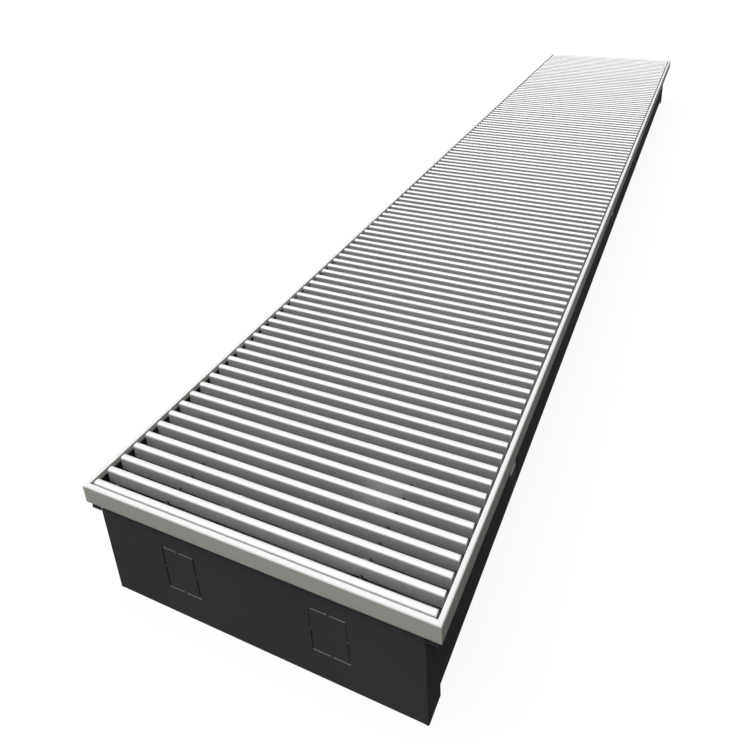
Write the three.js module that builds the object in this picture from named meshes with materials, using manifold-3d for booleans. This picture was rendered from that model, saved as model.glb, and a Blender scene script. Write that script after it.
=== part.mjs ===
// Trench convector heater: a folded steel trough let into the floor, an aluminium frame round its mouth,
// a walk-on grille of cross bars in two lift-out sections, and a finned water exchanger underneath.
//
// Millimetres. +X across the trough, +Y along it away from the pipe end, +Z up. The origin lies on the
// floor under the middle of the frame.

import * as THREE from "three";
import { mergeVertices } from "three/addons/utils/BufferGeometryUtils.js";
import Module from "manifold-3d";

const wasm = await Module();
wasm.setup();

// ---------------------------------------------------------------- driving dimensions

// Overall
const frameWidth = 300; // over the outer faces of the side rails
const frameLength = 1600; // over the outer faces of the end rails
const frameHeight = 108; // floor to the top of the frame
const seatGap = 0.3; // between pieces that rest on or against each other

// Folded sheet steel of the trough and the end panels
const sheet = 1;
const sheetBend = 1.5; // bend radius at the middle of the sheet
const troughLift = 5.3; // floor to the underside of the trough
const wallInset = 13; // frame's outer face to the trough's outer wall
const flangeInset = 3; // frame's outer face to the trough's turned-down hem
const hemDrop = 4;
const panelInset = 1.9; // end rail's outer face to the end panel's face
const panelReturn = 22; // side return of the end panel, round the trough's wall
const panelSeat = 9; // flange at the panel's top, under the end rail
const panelFoot = 20; // flange at the panel's lower edge, on the floor
const cornerRelief = 2.4; // notch at the panel's upper corners

// Pipe knock-outs in the end panels
const knockoutWidth = 31;
const knockoutHeight = 44;
const knockoutSlit = 0.9;
const knockoutBridge = 3;

// Frame rails, an extrusion with a hollow web and a hollow ledge, and the rubber strips on the side ledges
const railWidth = 4;
const railHeight = 19;
const railWall = 1;
const railCorner = 3.4; // radius at the outer lower edge
const railEdge = 0.4; // bevel along the top edges
const ledgeReach = 8;
const mitreGap = 0.2;
const keyLeg = 24;
const keyBend = 0.8;
const stripThickness = 1.2;
const stripEdge = 0.4; // bevel along the strip's inner edge
const stripLip = 0.8; // thickness of the lip between the bar ends and the side rail
const stripLipDrop = 4.5; // top of the frame to the top of the lip

// Grille
const barPitch = 14.27;
const barWidth = 5.6;
const barHeight = 12;
const barEdge = 1.2; // bevel along the bar's upper edges
const barEndGap = 2; // bar end to side rail
const endBarGap = 1.5; // end bar to end rail
const sectionJoint = 950; // end rail's outer face at the pipe end to the joint between the sections
const rodSize = 2.4;
const rodInset = 60; // bar end to the connecting rod
const rodRise = 1.5; // bar's underside to the middle of the rod

// Cross braces
const braceSpacing = 560;
const braceWidth = 25;
const braceHeight = 9;
const braceDrop = 1.5; // trough's flange to the top of the brace
const braceTab = 14;

// Exchanger
const sideChannel = 51; // free width between the trough's wall and the fins
const finRise = 20.4; // trough floor to the underside of the fins
const finHeadroom = 1.9; // fins to the cross braces above them
const finFront = 200; // end rail's outer face at the pipe end to the first fin
const finRear = 110; // end rail's outer face at the far end to the last fin
const finPitch = 84; // one fin is drawn for about seventeen of the real pack
const finThickness = 0.8;
const tubeRadius = 7.5;
const tubeWall = 1;
const tubeEdge = 20; // side of the fins to the outer tube
const tubeCount = 4;
const collarWall = 0.9;
const plateThickness = 1.2;
const plateGap = 6; // fin pack to its end plates
const plateMargin = 2; // end plate beyond the fins, each side and above
const plateFoot = 18;
const saddleWidth = 60;
const saddleCrown = 30; // width of the part that meets the fins
const saddleInset = 12; // side of the fins to the end of the saddle
const bendSocket = 9; // how far the return bend slips over a tube
const bendGap = 16; // end plate to the return bend

// Valves
const valveLength = 66;
const valveSwell = 13; // length of the widest part of the body, and of the slope on each side
const valveBore = 7;
const valveThread = 10.4;
const valveBody = 13;
const valveFront = 48; // end rail's outer face to the valve's pipe thread
const socketDepth = 14;
const handBonnet = 14.2; // radius of the collar under the hand cap
const handStem = 9.8; // radius of the stem below the collar
const handFlare = 1.6; // height of the slope from the stem out to the collar
const handRise = 15; // pipe axis to the collar
const handCap = 17;
const handFlutes = 8;
const capHeadroom = 5; // hand cap to the grille
const shieldBonnet = 8;
const shieldRise = 20;
const shieldCap = 10.5;
const shieldCapHeight = 13;
const shieldFlutes = 6;
const capWall = 1.6;
const fluteDepth = 0.8;
const capCover = 6; // how far a cap reaches down over its bonnet
const nutFlats = 24;
const nutThickness = 12;
const ventRadius = 5;
const ventEdge = 1;
const ventHeight = 12;
const ventScrewRadius = 2.6;
const ventScrewDepth = 6;
const ventHeadHeight = 2.5;
const ventSlot = 1.2;
const ventSlotDepth = 1.2;

// Levelling feet
const footInset = 215; // end rail's outer face to the outer feet
const windowWidth = 24;
const windowBottom = 8;
const windowTop = 40;
const bracketWidth = 30;
const bracketThickness = 2;
const bracketReach = 24;
const bracketTop = 50;
const shelfTop = 29;
const screwRadius = 4;
const screwTip = 1; // bevel round the screw's lower end
const screwOffset = 13; // bracket's outer face to the screw's axis
const screwTop = 58;
const screwNutFlats = 13;
const screwNutHeight = 6.5;
const weldDepth = 0.1; // how far the nut is pressed into the bracket
const screwClearance = 0.4;
const hexSocket = 5;
const hexSocketDepth = 4;
const padRadius = 12;
const padHeight = 4;
const padFloor = 1.5; // pad under the end of the screw

// How finely round and folded shapes are drawn
const foldSteps = 2;
const arcSteps = 4;
const tubeSides = 8;
const collarSides = 6;
const turnSteps = 6;
const valveSides = 10;
const capSides = 12;
const ventSides = 8;
const screwSides = 8;
const padSides = 8;

// ---------------------------------------------------------------- places worked out from them

const railBase = frameHeight - railHeight;
const flangeTop = railBase - seatGap;
const flangeUnder = flangeTop - sheet;
const wallOuter = frameWidth / 2 - wallInset;
const wallInner = wallOuter - sheet;
const troughFloor = troughLift + sheet;
const panelFace = frameLength / 2 - panelInset; // distance of the panel's outer face from the middle
const troughHalf = panelFace - sheetBend - sheet / 2 - seatGap; // clear of the bends at the corners

const barUnder = frameHeight - barHeight;
const stripUnder = barUnder - seatGap - stripThickness;
const ledgeTop = stripUnder - seatGap;
const barLength = frameWidth - 2 * (railWidth + barEndGap);

const braceTop = flangeUnder - braceDrop;
const braceUnder = braceTop - braceHeight;
const finTop = braceUnder - finHeadroom;
const finUnder = troughFloor + finRise;
const pipeHeight = (finTop + finUnder) / 2;
const finHalf = wallInner - sideChannel;
const pipeOut = finHalf - tubeEdge;
const tubePitch = (2 * pipeOut) / (tubeCount - 1);
const finStart = -frameLength / 2 + finFront;
const finEnd = frameLength / 2 - finRear;
const frontPlate = finStart - plateGap;
const rearPlate = finEnd + plateGap;
const bendStart = frontPlate - bendGap;
const valveStart = -frameLength / 2 + valveFront;
const valveEnd = valveStart + valveLength;

// ---------------------------------------------------------------- materials

const paint = { color: 0x33363a, roughness: 0.5, metalness: 0.2 };
const anodised = { color: 0xcfcfcb, roughness: 0.35, metalness: 0.9 };
const zinc = { color: 0xb4b7ba, roughness: 0.4, metalness: 0.9 };
const copper = { color: 0xb8704a, roughness: 0.35, metalness: 1 };
const finMetal = { color: 0xd5d8da, roughness: 0.3, metalness: 1 };
const nickel = { color: 0xc7c3b8, roughness: 0.25, metalness: 1 };
const rubber = { color: 0x151515, roughness: 0.9, metalness: 0 };
const plastic = { color: 0xe9e9e6, roughness: 0.5, metalness: 0 };

function piece(name, geometry, finish) {
  const mesh = new THREE.Mesh(geometry, new THREE.MeshStandardMaterial(finish));
  mesh.name = name;
  return mesh;
}

// ---------------------------------------------------------------- shape helpers

// A closed three.js geometry as a solid that can be joined and cut.
function solid(geometry) {
  const bare = new THREE.BufferGeometry();
  bare.setAttribute("position", geometry.getAttribute("position"));
  bare.setIndex(geometry.index);
  const merged = mergeVertices(bare, 1e-4);
  return new wasm.Manifold(
    new wasm.Mesh({
      numProp: 3,
      vertProperties: merged.getAttribute("position").array,
      triVerts: new Uint32Array(merged.index.array),
    }),
  );
}

// A solid as a flat-shaded geometry again.
function surface(body) {
  const { vertProperties, triVerts } = body.getMesh();
  const shared = new THREE.BufferGeometry();
  shared.setAttribute("position", new THREE.BufferAttribute(vertProperties, 3));
  shared.setIndex(new THREE.BufferAttribute(triVerts, 1));
  const flat = shared.toNonIndexed();
  flat.computeVertexNormals();
  return flat;
}

function join(first, ...others) {
  return others.reduce((sum, other) => sum.add(other), first);
}

function cut(first, ...others) {
  return others.reduce((rest, other) => rest.subtract(other), first);
}

// A box between two corners.
function block(low, high) {
  const [dx, dy, dz] = high.map((value, axis) => value - low[axis]);
  const box = new THREE.BoxGeometry(dx, dy, dz);
  return solid(box.translate(low[0] + dx / 2, low[1] + dy / 2, low[2] + dz / 2));
}

// A profile drawn in the plane across an axis, extruded along that axis and centred on it.
// Along x the profile is drawn in (y, z), along y in (x, z) and along z in (x, y).
function extrude(profile, length, axis) {
  const options = { depth: length, bevelEnabled: false, curveSegments: arcSteps };
  const body = new THREE.ExtrudeGeometry(profile, options);
  body.translate(0, 0, -length / 2);
  if (axis !== "z") {
    body.rotateX(Math.PI / 2);
  }
  if (axis === "x") {
    body.rotateZ(Math.PI / 2);
  }
  return body;
}

// A revolved profile of [radius, height] pairs round the z axis.
function revolve(pairs, sides) {
  const points = pairs.map(([radius, height]) => new THREE.Vector2(radius, height));
  return new THREE.LatheGeometry(points, sides).rotateX(Math.PI / 2);
}

function rod(radius, low, high, sides) {
  return revolve([[0, low], [radius, low], [radius, high], [0, high]], sides);
}

// The polygon of a sheet folded along a path through the middle of its thickness.
function foldedSheet(corners, thickness, bend) {
  const path = corners.map(([x, y]) => new THREE.Vector2(x, y));
  const left = [];
  const right = [];
  const mark = (point, heading) => {
    const side = new THREE.Vector2(-heading.y, heading.x).multiplyScalar(thickness / 2);
    left.push(point.clone().add(side));
    right.push(point.clone().sub(side));
  };
  const heading = (i) => path[i + 1].clone().sub(path[i]).normalize();
  mark(path[0], heading(0));
  for (let i = 1; i < path.length - 1; i++) {
    const before = heading(i - 1);
    const turn = Math.atan2(before.cross(heading(i)), before.dot(heading(i)));
    const setback = bend * Math.tan(Math.abs(turn) / 2);
    const spoke = new THREE.Vector2(-before.y, before.x).multiplyScalar(Math.sign(turn) * bend);
    const pivot = path[i].clone().addScaledVector(before, -setback).add(spoke);
    for (let k = 0; k <= foldSteps; k++) {
      const origin = new THREE.Vector2();
      const angle = (turn * k) / foldSteps;
      const reach = spoke.clone().rotateAround(origin, angle);
      mark(pivot.clone().sub(reach), before.clone().rotateAround(origin, angle));
    }
  }
  mark(path[path.length - 1], heading(path.length - 2));
  return new THREE.Shape([...left, ...right.reverse()]);
}

function regularPolygon(sides, flats) {
  const radius = flats / 2 / Math.cos(Math.PI / sides);
  const angles = Array.from({ length: sides }, (_, i) => (2 * Math.PI * i) / sides);
  return new THREE.Shape(angles.map((a) => new THREE.Vector2(radius * Math.cos(a), radius * Math.sin(a))));
}

// ---------------------------------------------------------------- trough and end panels

const footRows = [-1, 0, 1].map((row) => row * (frameLength / 2 - footInset));
const screwOut = wallInner - seatGap - screwOffset;

function makeTrough() {
  const wall = wallOuter - sheet / 2;
  const hem = frameWidth / 2 - flangeInset - sheet / 2;
  const top = flangeTop - sheet / 2;
  const floor = troughLift + sheet / 2;
  const halfSection = [[wall, floor], [wall, top], [hem, top], [hem, top - hemDrop]];
  const mirrored = halfSection.map(([x, z]) => [-x, z]).reverse();
  const section = foldedSheet([...mirrored, ...halfSection], sheet, sheetBend);
  let body = solid(extrude(section, 2 * panelFace, "y"));
  // Only the flanges reach over the end panels.
  const notch = wallOuter + sheetBend;
  body = cut(
    body,
    block([-notch, troughHalf, 0], [notch, frameLength, frameHeight]),
    block([-notch, -frameLength, 0], [notch, -troughHalf, frameHeight]),
  );
  for (const y of footRows) {
    const window = block(
      [-frameWidth, y - windowWidth / 2, windowBottom],
      [frameWidth, y + windowWidth / 2, windowTop],
    );
    const holes = [-screwOut, screwOut].map((x) =>
      solid(rod(screwRadius + screwClearance, 0, 2 * troughFloor, screwSides).translate(x, y, 0)),
    );
    body = cut(body, window, ...holes);
  }
  return piece("trough", surface(body), paint);
}

// Four angled slits that leave a bridge in the middle of each side.
function knockoutSlits(x) {
  const frameBox = (width, height) =>
    block(
      [x - width / 2, -2 * sheet, pipeHeight - height / 2],
      [x + width / 2, 2 * sheet, pipeHeight + height / 2],
    );
  const outer = frameBox(knockoutWidth, knockoutHeight);
  const inner = frameBox(knockoutWidth - 2 * knockoutSlit, knockoutHeight - 2 * knockoutSlit);
  const upright = frameBox(knockoutBridge, 2 * knockoutHeight);
  const level = frameBox(2 * knockoutWidth, knockoutBridge);
  return cut(outer, inner, upright, level);
}

// Drawn with its outer face in the plane y = 0 and the trough towards +y.
function makeEndPanel(name) {
  const returnTop = flangeUnder - sheetBend - seatGap;
  const side = wallOuter + seatGap + sheet / 2;
  const plan = [[-side, panelReturn], [-side, sheet / 2], [side, sheet / 2], [side, panelReturn]];
  const shell = extrude(foldedSheet(plan, sheet, sheetBend), returnTop, "z").translate(0, 0, returnTop / 2);
  const faceHalf = side + sheet / 2 - sheetBend - cornerRelief;
  const seatHalf = wallInner - seatGap;
  const footHalf = side - sheetBend;
  const face = block([-faceHalf, 0, returnTop - sheet], [faceHalf, sheet, flangeTop]);
  const seat = block([-seatHalf, 0, flangeUnder], [seatHalf, panelSeat, flangeTop]);
  const foot = block([-footHalf, sheet / 2, 0], [footHalf, panelFoot, sheet]);
  const body = cut(join(solid(shell), face, seat, foot), knockoutSlits(pipeOut), knockoutSlits(-pipeOut));
  return piece(name, surface(body), paint);
}

function makeEndPanels() {
  const group = new THREE.Group();
  const front = makeEndPanel("end_panel_front");
  front.position.y = -panelFace;
  const rear = makeEndPanel("end_panel_rear");
  rear.position.y = panelFace;
  rear.rotation.z = Math.PI;
  group.add(front, rear);
  return group;
}

// ---------------------------------------------------------------- frame

// The rail's section, drawn in (distance inwards from the outer face, height above the rail's base).
function railSection() {
  const ledgeHeight = ledgeTop - railBase;
  const section = new THREE.Shape();
  section.moveTo(railWidth + ledgeReach, 0);
  section.lineTo(railWidth + ledgeReach, ledgeHeight);
  section.lineTo(railWidth, ledgeHeight);
  section.lineTo(railWidth, railHeight - railEdge);
  section.lineTo(railWidth - railEdge, railHeight);
  section.lineTo(railEdge, railHeight);
  section.lineTo(0, railHeight - railEdge);
  section.lineTo(0, railCorner);
  section.absarc(railCorner, railCorner, railCorner, Math.PI, 1.5 * Math.PI, false);
  const hollow = new THREE.Path();
  hollow.moveTo(railWall, railCorner + railWall);
  hollow.lineTo(railWidth - railWall, railCorner + railWall);
  hollow.lineTo(railWidth - railWall, railHeight - railWall);
  hollow.lineTo(railWall, railHeight - railWall);
  const chamber = new THREE.Path();
  chamber.moveTo(railWidth, railWall);
  chamber.lineTo(railWidth + ledgeReach - railWall, railWall);
  chamber.lineTo(railWidth + ledgeReach - railWall, ledgeHeight - railWall);
  chamber.lineTo(railWidth, ledgeHeight - railWall);
  section.holes.push(hollow, chamber);
  return section;
}

// A rail with both ends mitred at 45 degrees, its outer face at y = -reach.
function makeRail(name, halfLength, reach) {
  const options = { depth: 1, bevelEnabled: false, curveSegments: arcSteps };
  const rail = new THREE.ExtrudeGeometry(railSection(), options);
  const place = rail.getAttribute("position");
  for (let i = 0; i < place.count; i++) {
    const inwards = place.getX(i);
    const up = place.getY(i);
    const along = (2 * place.getZ(i) - 1) * (halfLength - inwards - mitreGap);
    place.setXYZ(i, along, inwards - reach, railBase + up);
  }
  rail.computeVertexNormals();
  return piece(name, rail, anodised);
}

// An angle that joins two rails inside their hollow webs, drawn at the corner where both rails start.
function makeCornerKey(name) {
  const middle = railWidth / 2;
  const thickness = railWidth - 2 * (railWall + seatGap);
  const bottom = railBase + railCorner + railWall + seatGap;
  const height = railHeight - railCorner - 2 * (railWall + seatGap);
  const plan = foldedSheet([[middle, keyLeg], [middle, middle], [keyLeg, middle]], thickness, keyBend);
  return piece(name, extrude(plan, height, "z").translate(0, 0, bottom + height / 2), zinc);
}

function makeFrame() {
  const group = new THREE.Group();
  const halfWidth = frameWidth / 2;
  const halfLength = frameLength / 2;
  const sides = [
    ["front", halfWidth, halfLength],
    ["right", halfLength, halfWidth],
    ["rear", halfWidth, halfLength],
    ["left", halfLength, halfWidth],
  ];
  sides.forEach(([side, halfRail, reach], quarter) => {
    const rail = makeRail("frame_rail_" + side, halfRail, reach);
    rail.rotation.z = (quarter * Math.PI) / 2;
    const key = makeCornerKey("corner_key_" + (quarter + 1));
    const corner = new THREE.Group();
    corner.rotation.z = (quarter * Math.PI) / 2;
    key.position.set(-halfRail, -reach, 0);
    corner.add(key);
    group.add(rail, corner);
  });
  return group;
}

// A rubber angle on each side rail's ledge, under the ends of the bars and up beside them.
function makeDampingStrips() {
  const group = new THREE.Group();
  const length = frameLength - 2 * (railWidth + seatGap);
  const outer = frameWidth / 2 - railWidth - seatGap;
  const inner = frameWidth / 2 - railWidth - ledgeReach + seatGap;
  const top = stripUnder + stripThickness;
  const lipTop = frameHeight - stripLipDrop;
  const corners = [
    [inner, stripUnder],
    [outer, stripUnder],
    [outer, lipTop],
    [outer - stripLip, lipTop],
    [outer - stripLip, top],
    [inner + stripEdge, top],
    [inner, top - stripEdge],
  ];
  for (const [side, sign] of [["left", -1], ["right", 1]]) {
    const section = new THREE.Shape(corners.map(([x, z]) => new THREE.Vector2(sign * x, z)));
    group.add(piece("damping_strip_" + side, extrude(section, length, "y"), rubber));
  }
  return group;
}

// ---------------------------------------------------------------- grille

// A flat-sided bar whose top lies flush with the frame, bevelled along both edges.
function barSection() {
  const half = barWidth / 2;
  return new THREE.Shape([
    new THREE.Vector2(-half, 0),
    new THREE.Vector2(half, 0),
    new THREE.Vector2(half, barHeight - barEdge),
    new THREE.Vector2(half - barEdge, barHeight),
    new THREE.Vector2(barEdge - half, barHeight),
    new THREE.Vector2(-half, barHeight - barEdge),
  ]);
}

// One section: its bars, strung on two connecting rods.
function makeGrilleSection(name, bars) {
  const shape = barSection();
  let body = null;
  for (const y of bars) {
    const bar = solid(extrude(shape, barLength, "x").translate(0, y, barUnder));
    body = body ? body.add(bar) : bar;
  }
  const first = bars[0];
  const last = bars[bars.length - 1];
  for (const sign of [-1, 1]) {
    const x = sign * (barLength / 2 - rodInset);
    const z = barUnder + rodRise;
    body = body.add(
      block([x - rodSize / 2, first, z - rodSize / 2], [x + rodSize / 2, last, z + rodSize / 2]),
    );
  }
  return piece(name, surface(body), anodised);
}

function makeGrille() {
  const group = new THREE.Group();
  const endBar = frameLength / 2 - railWidth - endBarGap - barWidth / 2;
  const pitches = Math.round((2 * endBar) / barPitch);
  const places = Array.from({ length: pitches + 1 }, (_, i) => -endBar + (i * 2 * endBar) / pitches);
  const joint = sectionJoint - frameLength / 2;
  group.add(makeGrilleSection("grille_front_section", places.filter((y) => y < joint)));
  group.add(makeGrilleSection("grille_rear_section", places.filter((y) => y >= joint)));
  return group;
}

// ---------------------------------------------------------------- cross braces

// A channel across the trough with a tab against each wall.
function makeBrace(name, y) {
  const half = braceWidth / 2 - sheet / 2;
  const top = braceTop - sheet / 2;
  const path = [[-half, braceUnder], [-half, top], [half, top], [half, braceUnder]];
  const channel = foldedSheet(path, sheet, sheetBend);
  const reach = wallInner - seatGap;
  const tabs = [-1, 1].map((sign) => {
    const inner = sign > 0 ? reach - sheet : -reach;
    return block([inner, -half, braceTop - braceTab], [inner + sheet, half, braceTop - sheet / 2]);
  });
  const brace = piece(name, surface(join(solid(extrude(channel, 2 * reach, "x")), ...tabs)), zinc);
  brace.position.y = y;
  return brace;
}

// ---------------------------------------------------------------- exchanger

const tubePlaces = Array.from({ length: tubeCount }, (_, i) => -pipeOut + i * tubePitch);

// A round hole or ring round each tube, in a profile drawn in (x, z) about the pipe axis.
function aroundTubes(radius, Kind) {
  return tubePlaces.map((x) => {
    const outline = new Kind();
    for (let i = 0; i < collarSides; i++) {
      const angle = (2 * Math.PI * (i + 0.5)) / collarSides;
      const across = radius / Math.cos(Math.PI / collarSides);
      outline[i ? "lineTo" : "moveTo"](x + across * Math.cos(angle), across * Math.sin(angle));
    }
    outline.closePath();
    return outline;
  });
}

// A plate with a hole for each tube, drawn round the pipe axis.
function tubePlate(half, top, under, thickness, holeRadius) {
  const outline = new THREE.Shape([
    new THREE.Vector2(-half, under),
    new THREE.Vector2(half, under),
    new THREE.Vector2(half, top),
    new THREE.Vector2(-half, top),
  ]);
  outline.holes.push(...aroundTubes(holeRadius, THREE.Path));
  return solid(extrude(outline, thickness, "y"));
}

// The fins, whose collars meet to form one sleeve along each tube.
function makeFinPack() {
  const rise = (finTop - finUnder) / 2;
  const bore = tubeRadius + seatGap;
  const length = finEnd - finStart;
  const gaps = Math.round((length - finThickness) / finPitch);
  const sleeves = aroundTubes(bore + collarWall, THREE.Shape).map((ring, i) => {
    ring.holes.push(aroundTubes(bore, THREE.Path)[i]);
    return solid(extrude(ring, length, "y"));
  });
  const fin = tubePlate(finHalf, rise, -rise, finThickness, bore + collarWall / 2);
  const step = (length - finThickness) / gaps;
  const fins = Array.from({ length: gaps + 1 }, (_, i) =>
    fin.translate([0, (i - gaps / 2) * step, 0]),
  );
  const pack = piece("fin_pack", surface(join(fins[0], ...sleeves, ...fins.slice(1))), finMetal);
  pack.position.set(0, (finStart + finEnd) / 2, pipeHeight);
  return pack;
}

// A round pipe with an open bore along a level path of points [x, y], mitred at each point.
function pipe(path, outer, bore) {
  const points = path.map(([x, y]) => new THREE.Vector2(x, y));
  const stations = points.map((point, i) => {
    const before = i ? point.clone().sub(points[i - 1]).normalize() : null;
    const after = i < points.length - 1 ? points[i + 1].clone().sub(point).normalize() : null;
    const heading = new THREE.Vector2().add(before ?? after).add(after ?? before).normalize();
    const stretch = before && after ? 1 / heading.dot(before) : 1;
    return { point, side: new THREE.Vector2(heading.y, -heading.x), stretch };
  });
  const vertices = [];
  const ring = (station, radius) => {
    for (let i = 0; i < tubeSides; i++) {
      const angle = (2 * Math.PI * (i + 0.5)) / tubeSides;
      const across = radius * Math.cos(angle) * station.stretch;
      const { point, side } = station;
      vertices.push(point.x + side.x * across, point.y + side.y * across, radius * Math.sin(angle));
    }
  };
  stations.forEach((station) => ring(station, outer));
  [...stations].reverse().forEach((station) => ring(station, bore));
  const rings = 2 * stations.length;
  const index = [];
  for (let r = 0; r < rings; r++) {
    for (let i = 0; i < tubeSides; i++) {
      const next = (i + 1) % tubeSides;
      const here = r * tubeSides;
      const there = ((r + 1) % rings) * tubeSides;
      index.push(here + i, there + i, there + next, here + i, there + next, here + next);
    }
  }
  const body = new THREE.BufferGeometry();
  body.setAttribute("position", new THREE.Float32BufferAttribute(vertices, 3));
  body.setIndex(index);
  return body;
}

// Points of a half circle from x = from to x = to, bulging towards the given y direction.
function halfTurn(from, to, y, direction) {
  const radius = Math.abs(to - from) / 2;
  const middle = (from + to) / 2;
  return Array.from({ length: turnSteps + 1 }, (_, i) => {
    const angle = (Math.PI * i) / turnSteps;
    return [middle + (from - middle) * Math.cos(angle), y + direction * radius * Math.sin(angle)];
  });
}

// Two tubes made of one, from a valve to the far end and back to the return bend.
function makeHairpin(name, sign) {
  const outer = sign * pipeOut;
  const inner = sign * (pipeOut - tubePitch);
  const start = valveEnd - socketDepth + seatGap;
  const turn = halfTurn(outer, inner, rearPlate + bendGap, 1);
  const path = [[outer, start], ...turn, [inner, bendStart]];
  const tube = pipe(path, tubeRadius, tubeRadius - tubeWall);
  const hairpin = piece(name, surface(solid(tube)), copper);
  hairpin.position.z = pipeHeight;
  return hairpin;
}

// A short bend with a socket over the end of each inner tube.
function makeReturnBend() {
  const inner = pipeOut - tubePitch;
  const bore = tubeRadius + seatGap;
  const turn = halfTurn(inner, -inner, bendStart, -1);
  const path = [[inner, bendStart + bendSocket], ...turn, [-inner, bendStart + bendSocket]];
  const bend = piece("return_bend", surface(solid(pipe(path, bore + tubeWall, bore))), copper);
  bend.position.z = pipeHeight;
  return bend;
}

// An end plate that stands on the trough's floor and carries the tubes, its foot turned away from the fins.
function makeExchangerPlate(name, y, direction) {
  const half = finHalf + plateMargin;
  const under = troughFloor + seatGap;
  const top = finTop + plateMargin - pipeHeight;
  const plate = tubePlate(half, top, under - pipeHeight, plateThickness, tubeRadius + seatGap);
  const foot = block([-half, 0, under - pipeHeight], [half, plateFoot, under - pipeHeight + plateThickness]);
  const support = piece(name, surface(plate.add(foot)), zinc);
  support.position.set(0, y, pipeHeight);
  support.rotation.z = direction > 0 ? 0 : Math.PI;
  return support;
}

// A hat-shaped rail under the middle of the fins.
function makeSaddle() {
  const foot = troughFloor + seatGap + plateThickness / 2;
  const crown = finUnder - seatGap - plateThickness / 2;
  const half = saddleWidth / 2;
  const halfCrown = saddleCrown / 2;
  const path = [
    [-half, foot],
    [-halfCrown, foot],
    [-halfCrown, crown],
    [halfCrown, crown],
    [halfCrown, foot],
    [half, foot],
  ];
  const hat = extrude(foldedSheet(path, plateThickness, sheetBend), 2 * (finHalf - saddleInset), "x");
  const saddle = piece("exchanger_saddle", hat, zinc);
  saddle.position.y = (finStart + finEnd) / 2;
  return saddle;
}

// ---------------------------------------------------------------- valves and vent

// A straight valve body along y with an upright bonnet, drawn round the pipe axis at its own middle.
function makeValveBody(name, x, bonnet) {
  const half = valveLength / 2;
  const widest = valveSwell / 2;
  const barrel = revolve(
    [
      [0, -half],
      [valveThread, -half],
      [valveThread, -widest - valveSwell],
      [valveBody, -widest],
      [valveBody, widest],
      [valveThread, widest + valveSwell],
      [valveThread, half],
      [0, half],
    ],
    valveSides,
  ).rotateX(-Math.PI / 2);
  const inlet = rod(valveBore, -socketDepth, socketDepth, tubeSides)
    .rotateX(Math.PI / 2)
    .translate(0, -half, 0);
  const outlet = rod(tubeRadius + seatGap, -socketDepth, socketDepth, tubeSides)
    .rotateX(Math.PI / 2)
    .rotateY(Math.PI / tubeSides)
    .translate(0, half, 0);
  const body = cut(join(solid(barrel), solid(revolve(bonnet, capSides))), solid(inlet), solid(outlet));
  const valve = piece(name, surface(body), nickel);
  valve.position.set(x, (valveStart + valveEnd) / 2, pipeHeight);
  return valve;
}

// A cap that turns on a bonnet, its side fluted for grip, drawn with its rim at z = 0.
function makeCap(name, radius, bonnet, height, flutes) {
  const corners = Array.from({ length: 4 * flutes }, (_, i) => {
    const angle = (Math.PI * (i + 0.5)) / (2 * flutes);
    const reach = i % 4 < 2 ? radius : radius - fluteDepth;
    return new THREE.Vector2(reach * Math.cos(angle), reach * Math.sin(angle));
  });
  const ceiling = height - capWall;
  const grip = extrude(new THREE.Shape(corners), ceiling, "z").translate(0, 0, ceiling / 2);
  const rim = radius - fluteDepth;
  const crown = revolve([[0, 0], [rim, 0], [rim, ceiling], [rim - capWall, height], [0, height]], 2 * flutes);
  const bore = (bonnet + seatGap) / Math.cos(Math.PI / capSides);
  const body = cut(join(solid(grip), solid(crown)), solid(rod(bore, -capWall, ceiling, capSides)));
  return piece(name, surface(body), plastic);
}

function makeUnionNut(name, x) {
  const hexagon = regularPolygon(6, nutFlats);
  const hole = new THREE.Path();
  hole.absarc(0, 0, (tubeRadius + seatGap) / Math.cos(Math.PI / tubeSides), 0, 2 * Math.PI, true);
  hexagon.holes.push(hole);
  const nut = piece(name, extrude(hexagon, nutThickness, "y"), nickel);
  nut.position.set(x, valveEnd + seatGap + nutThickness / 2, pipeHeight);
  return nut;
}

function makeValves() {
  const group = new THREE.Group();
  const middle = (valveStart + valveEnd) / 2;
  const capTop = barUnder - capHeadroom;

  const handCollarTop = handRise + capCover;
  const handBonnetPairs = [
    [0, 0],
    [handStem, 0],
    [handStem, handRise - handFlare],
    [handBonnet, handRise],
    [handBonnet, handCollarTop],
    [0, handCollarTop],
  ];
  const supply = makeValveBody("supply_valve_body", pipeOut, handBonnetPairs);
  const capRim = pipeHeight + handRise + seatGap;
  const hand = makeCap("supply_valve_cap", handCap, handBonnet, capTop - capRim, handFlutes);
  hand.position.set(pipeOut, middle, capRim);

  const shieldBonnetPairs = [[0, 0], [shieldBonnet, 0], [shieldBonnet, shieldRise], [0, shieldRise]];
  const back = makeValveBody("return_valve_body", -pipeOut, shieldBonnetPairs);
  const shield = makeCap("return_valve_cap", shieldCap, shieldBonnet, shieldCapHeight, shieldFlutes);
  shield.position.set(-pipeOut, middle, pipeHeight + shieldRise - capCover);

  group.add(supply, hand, back, shield);
  group.add(makeUnionNut("supply_union_nut", pipeOut), makeUnionNut("return_union_nut", -pipeOut));
  return group;
}

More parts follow.
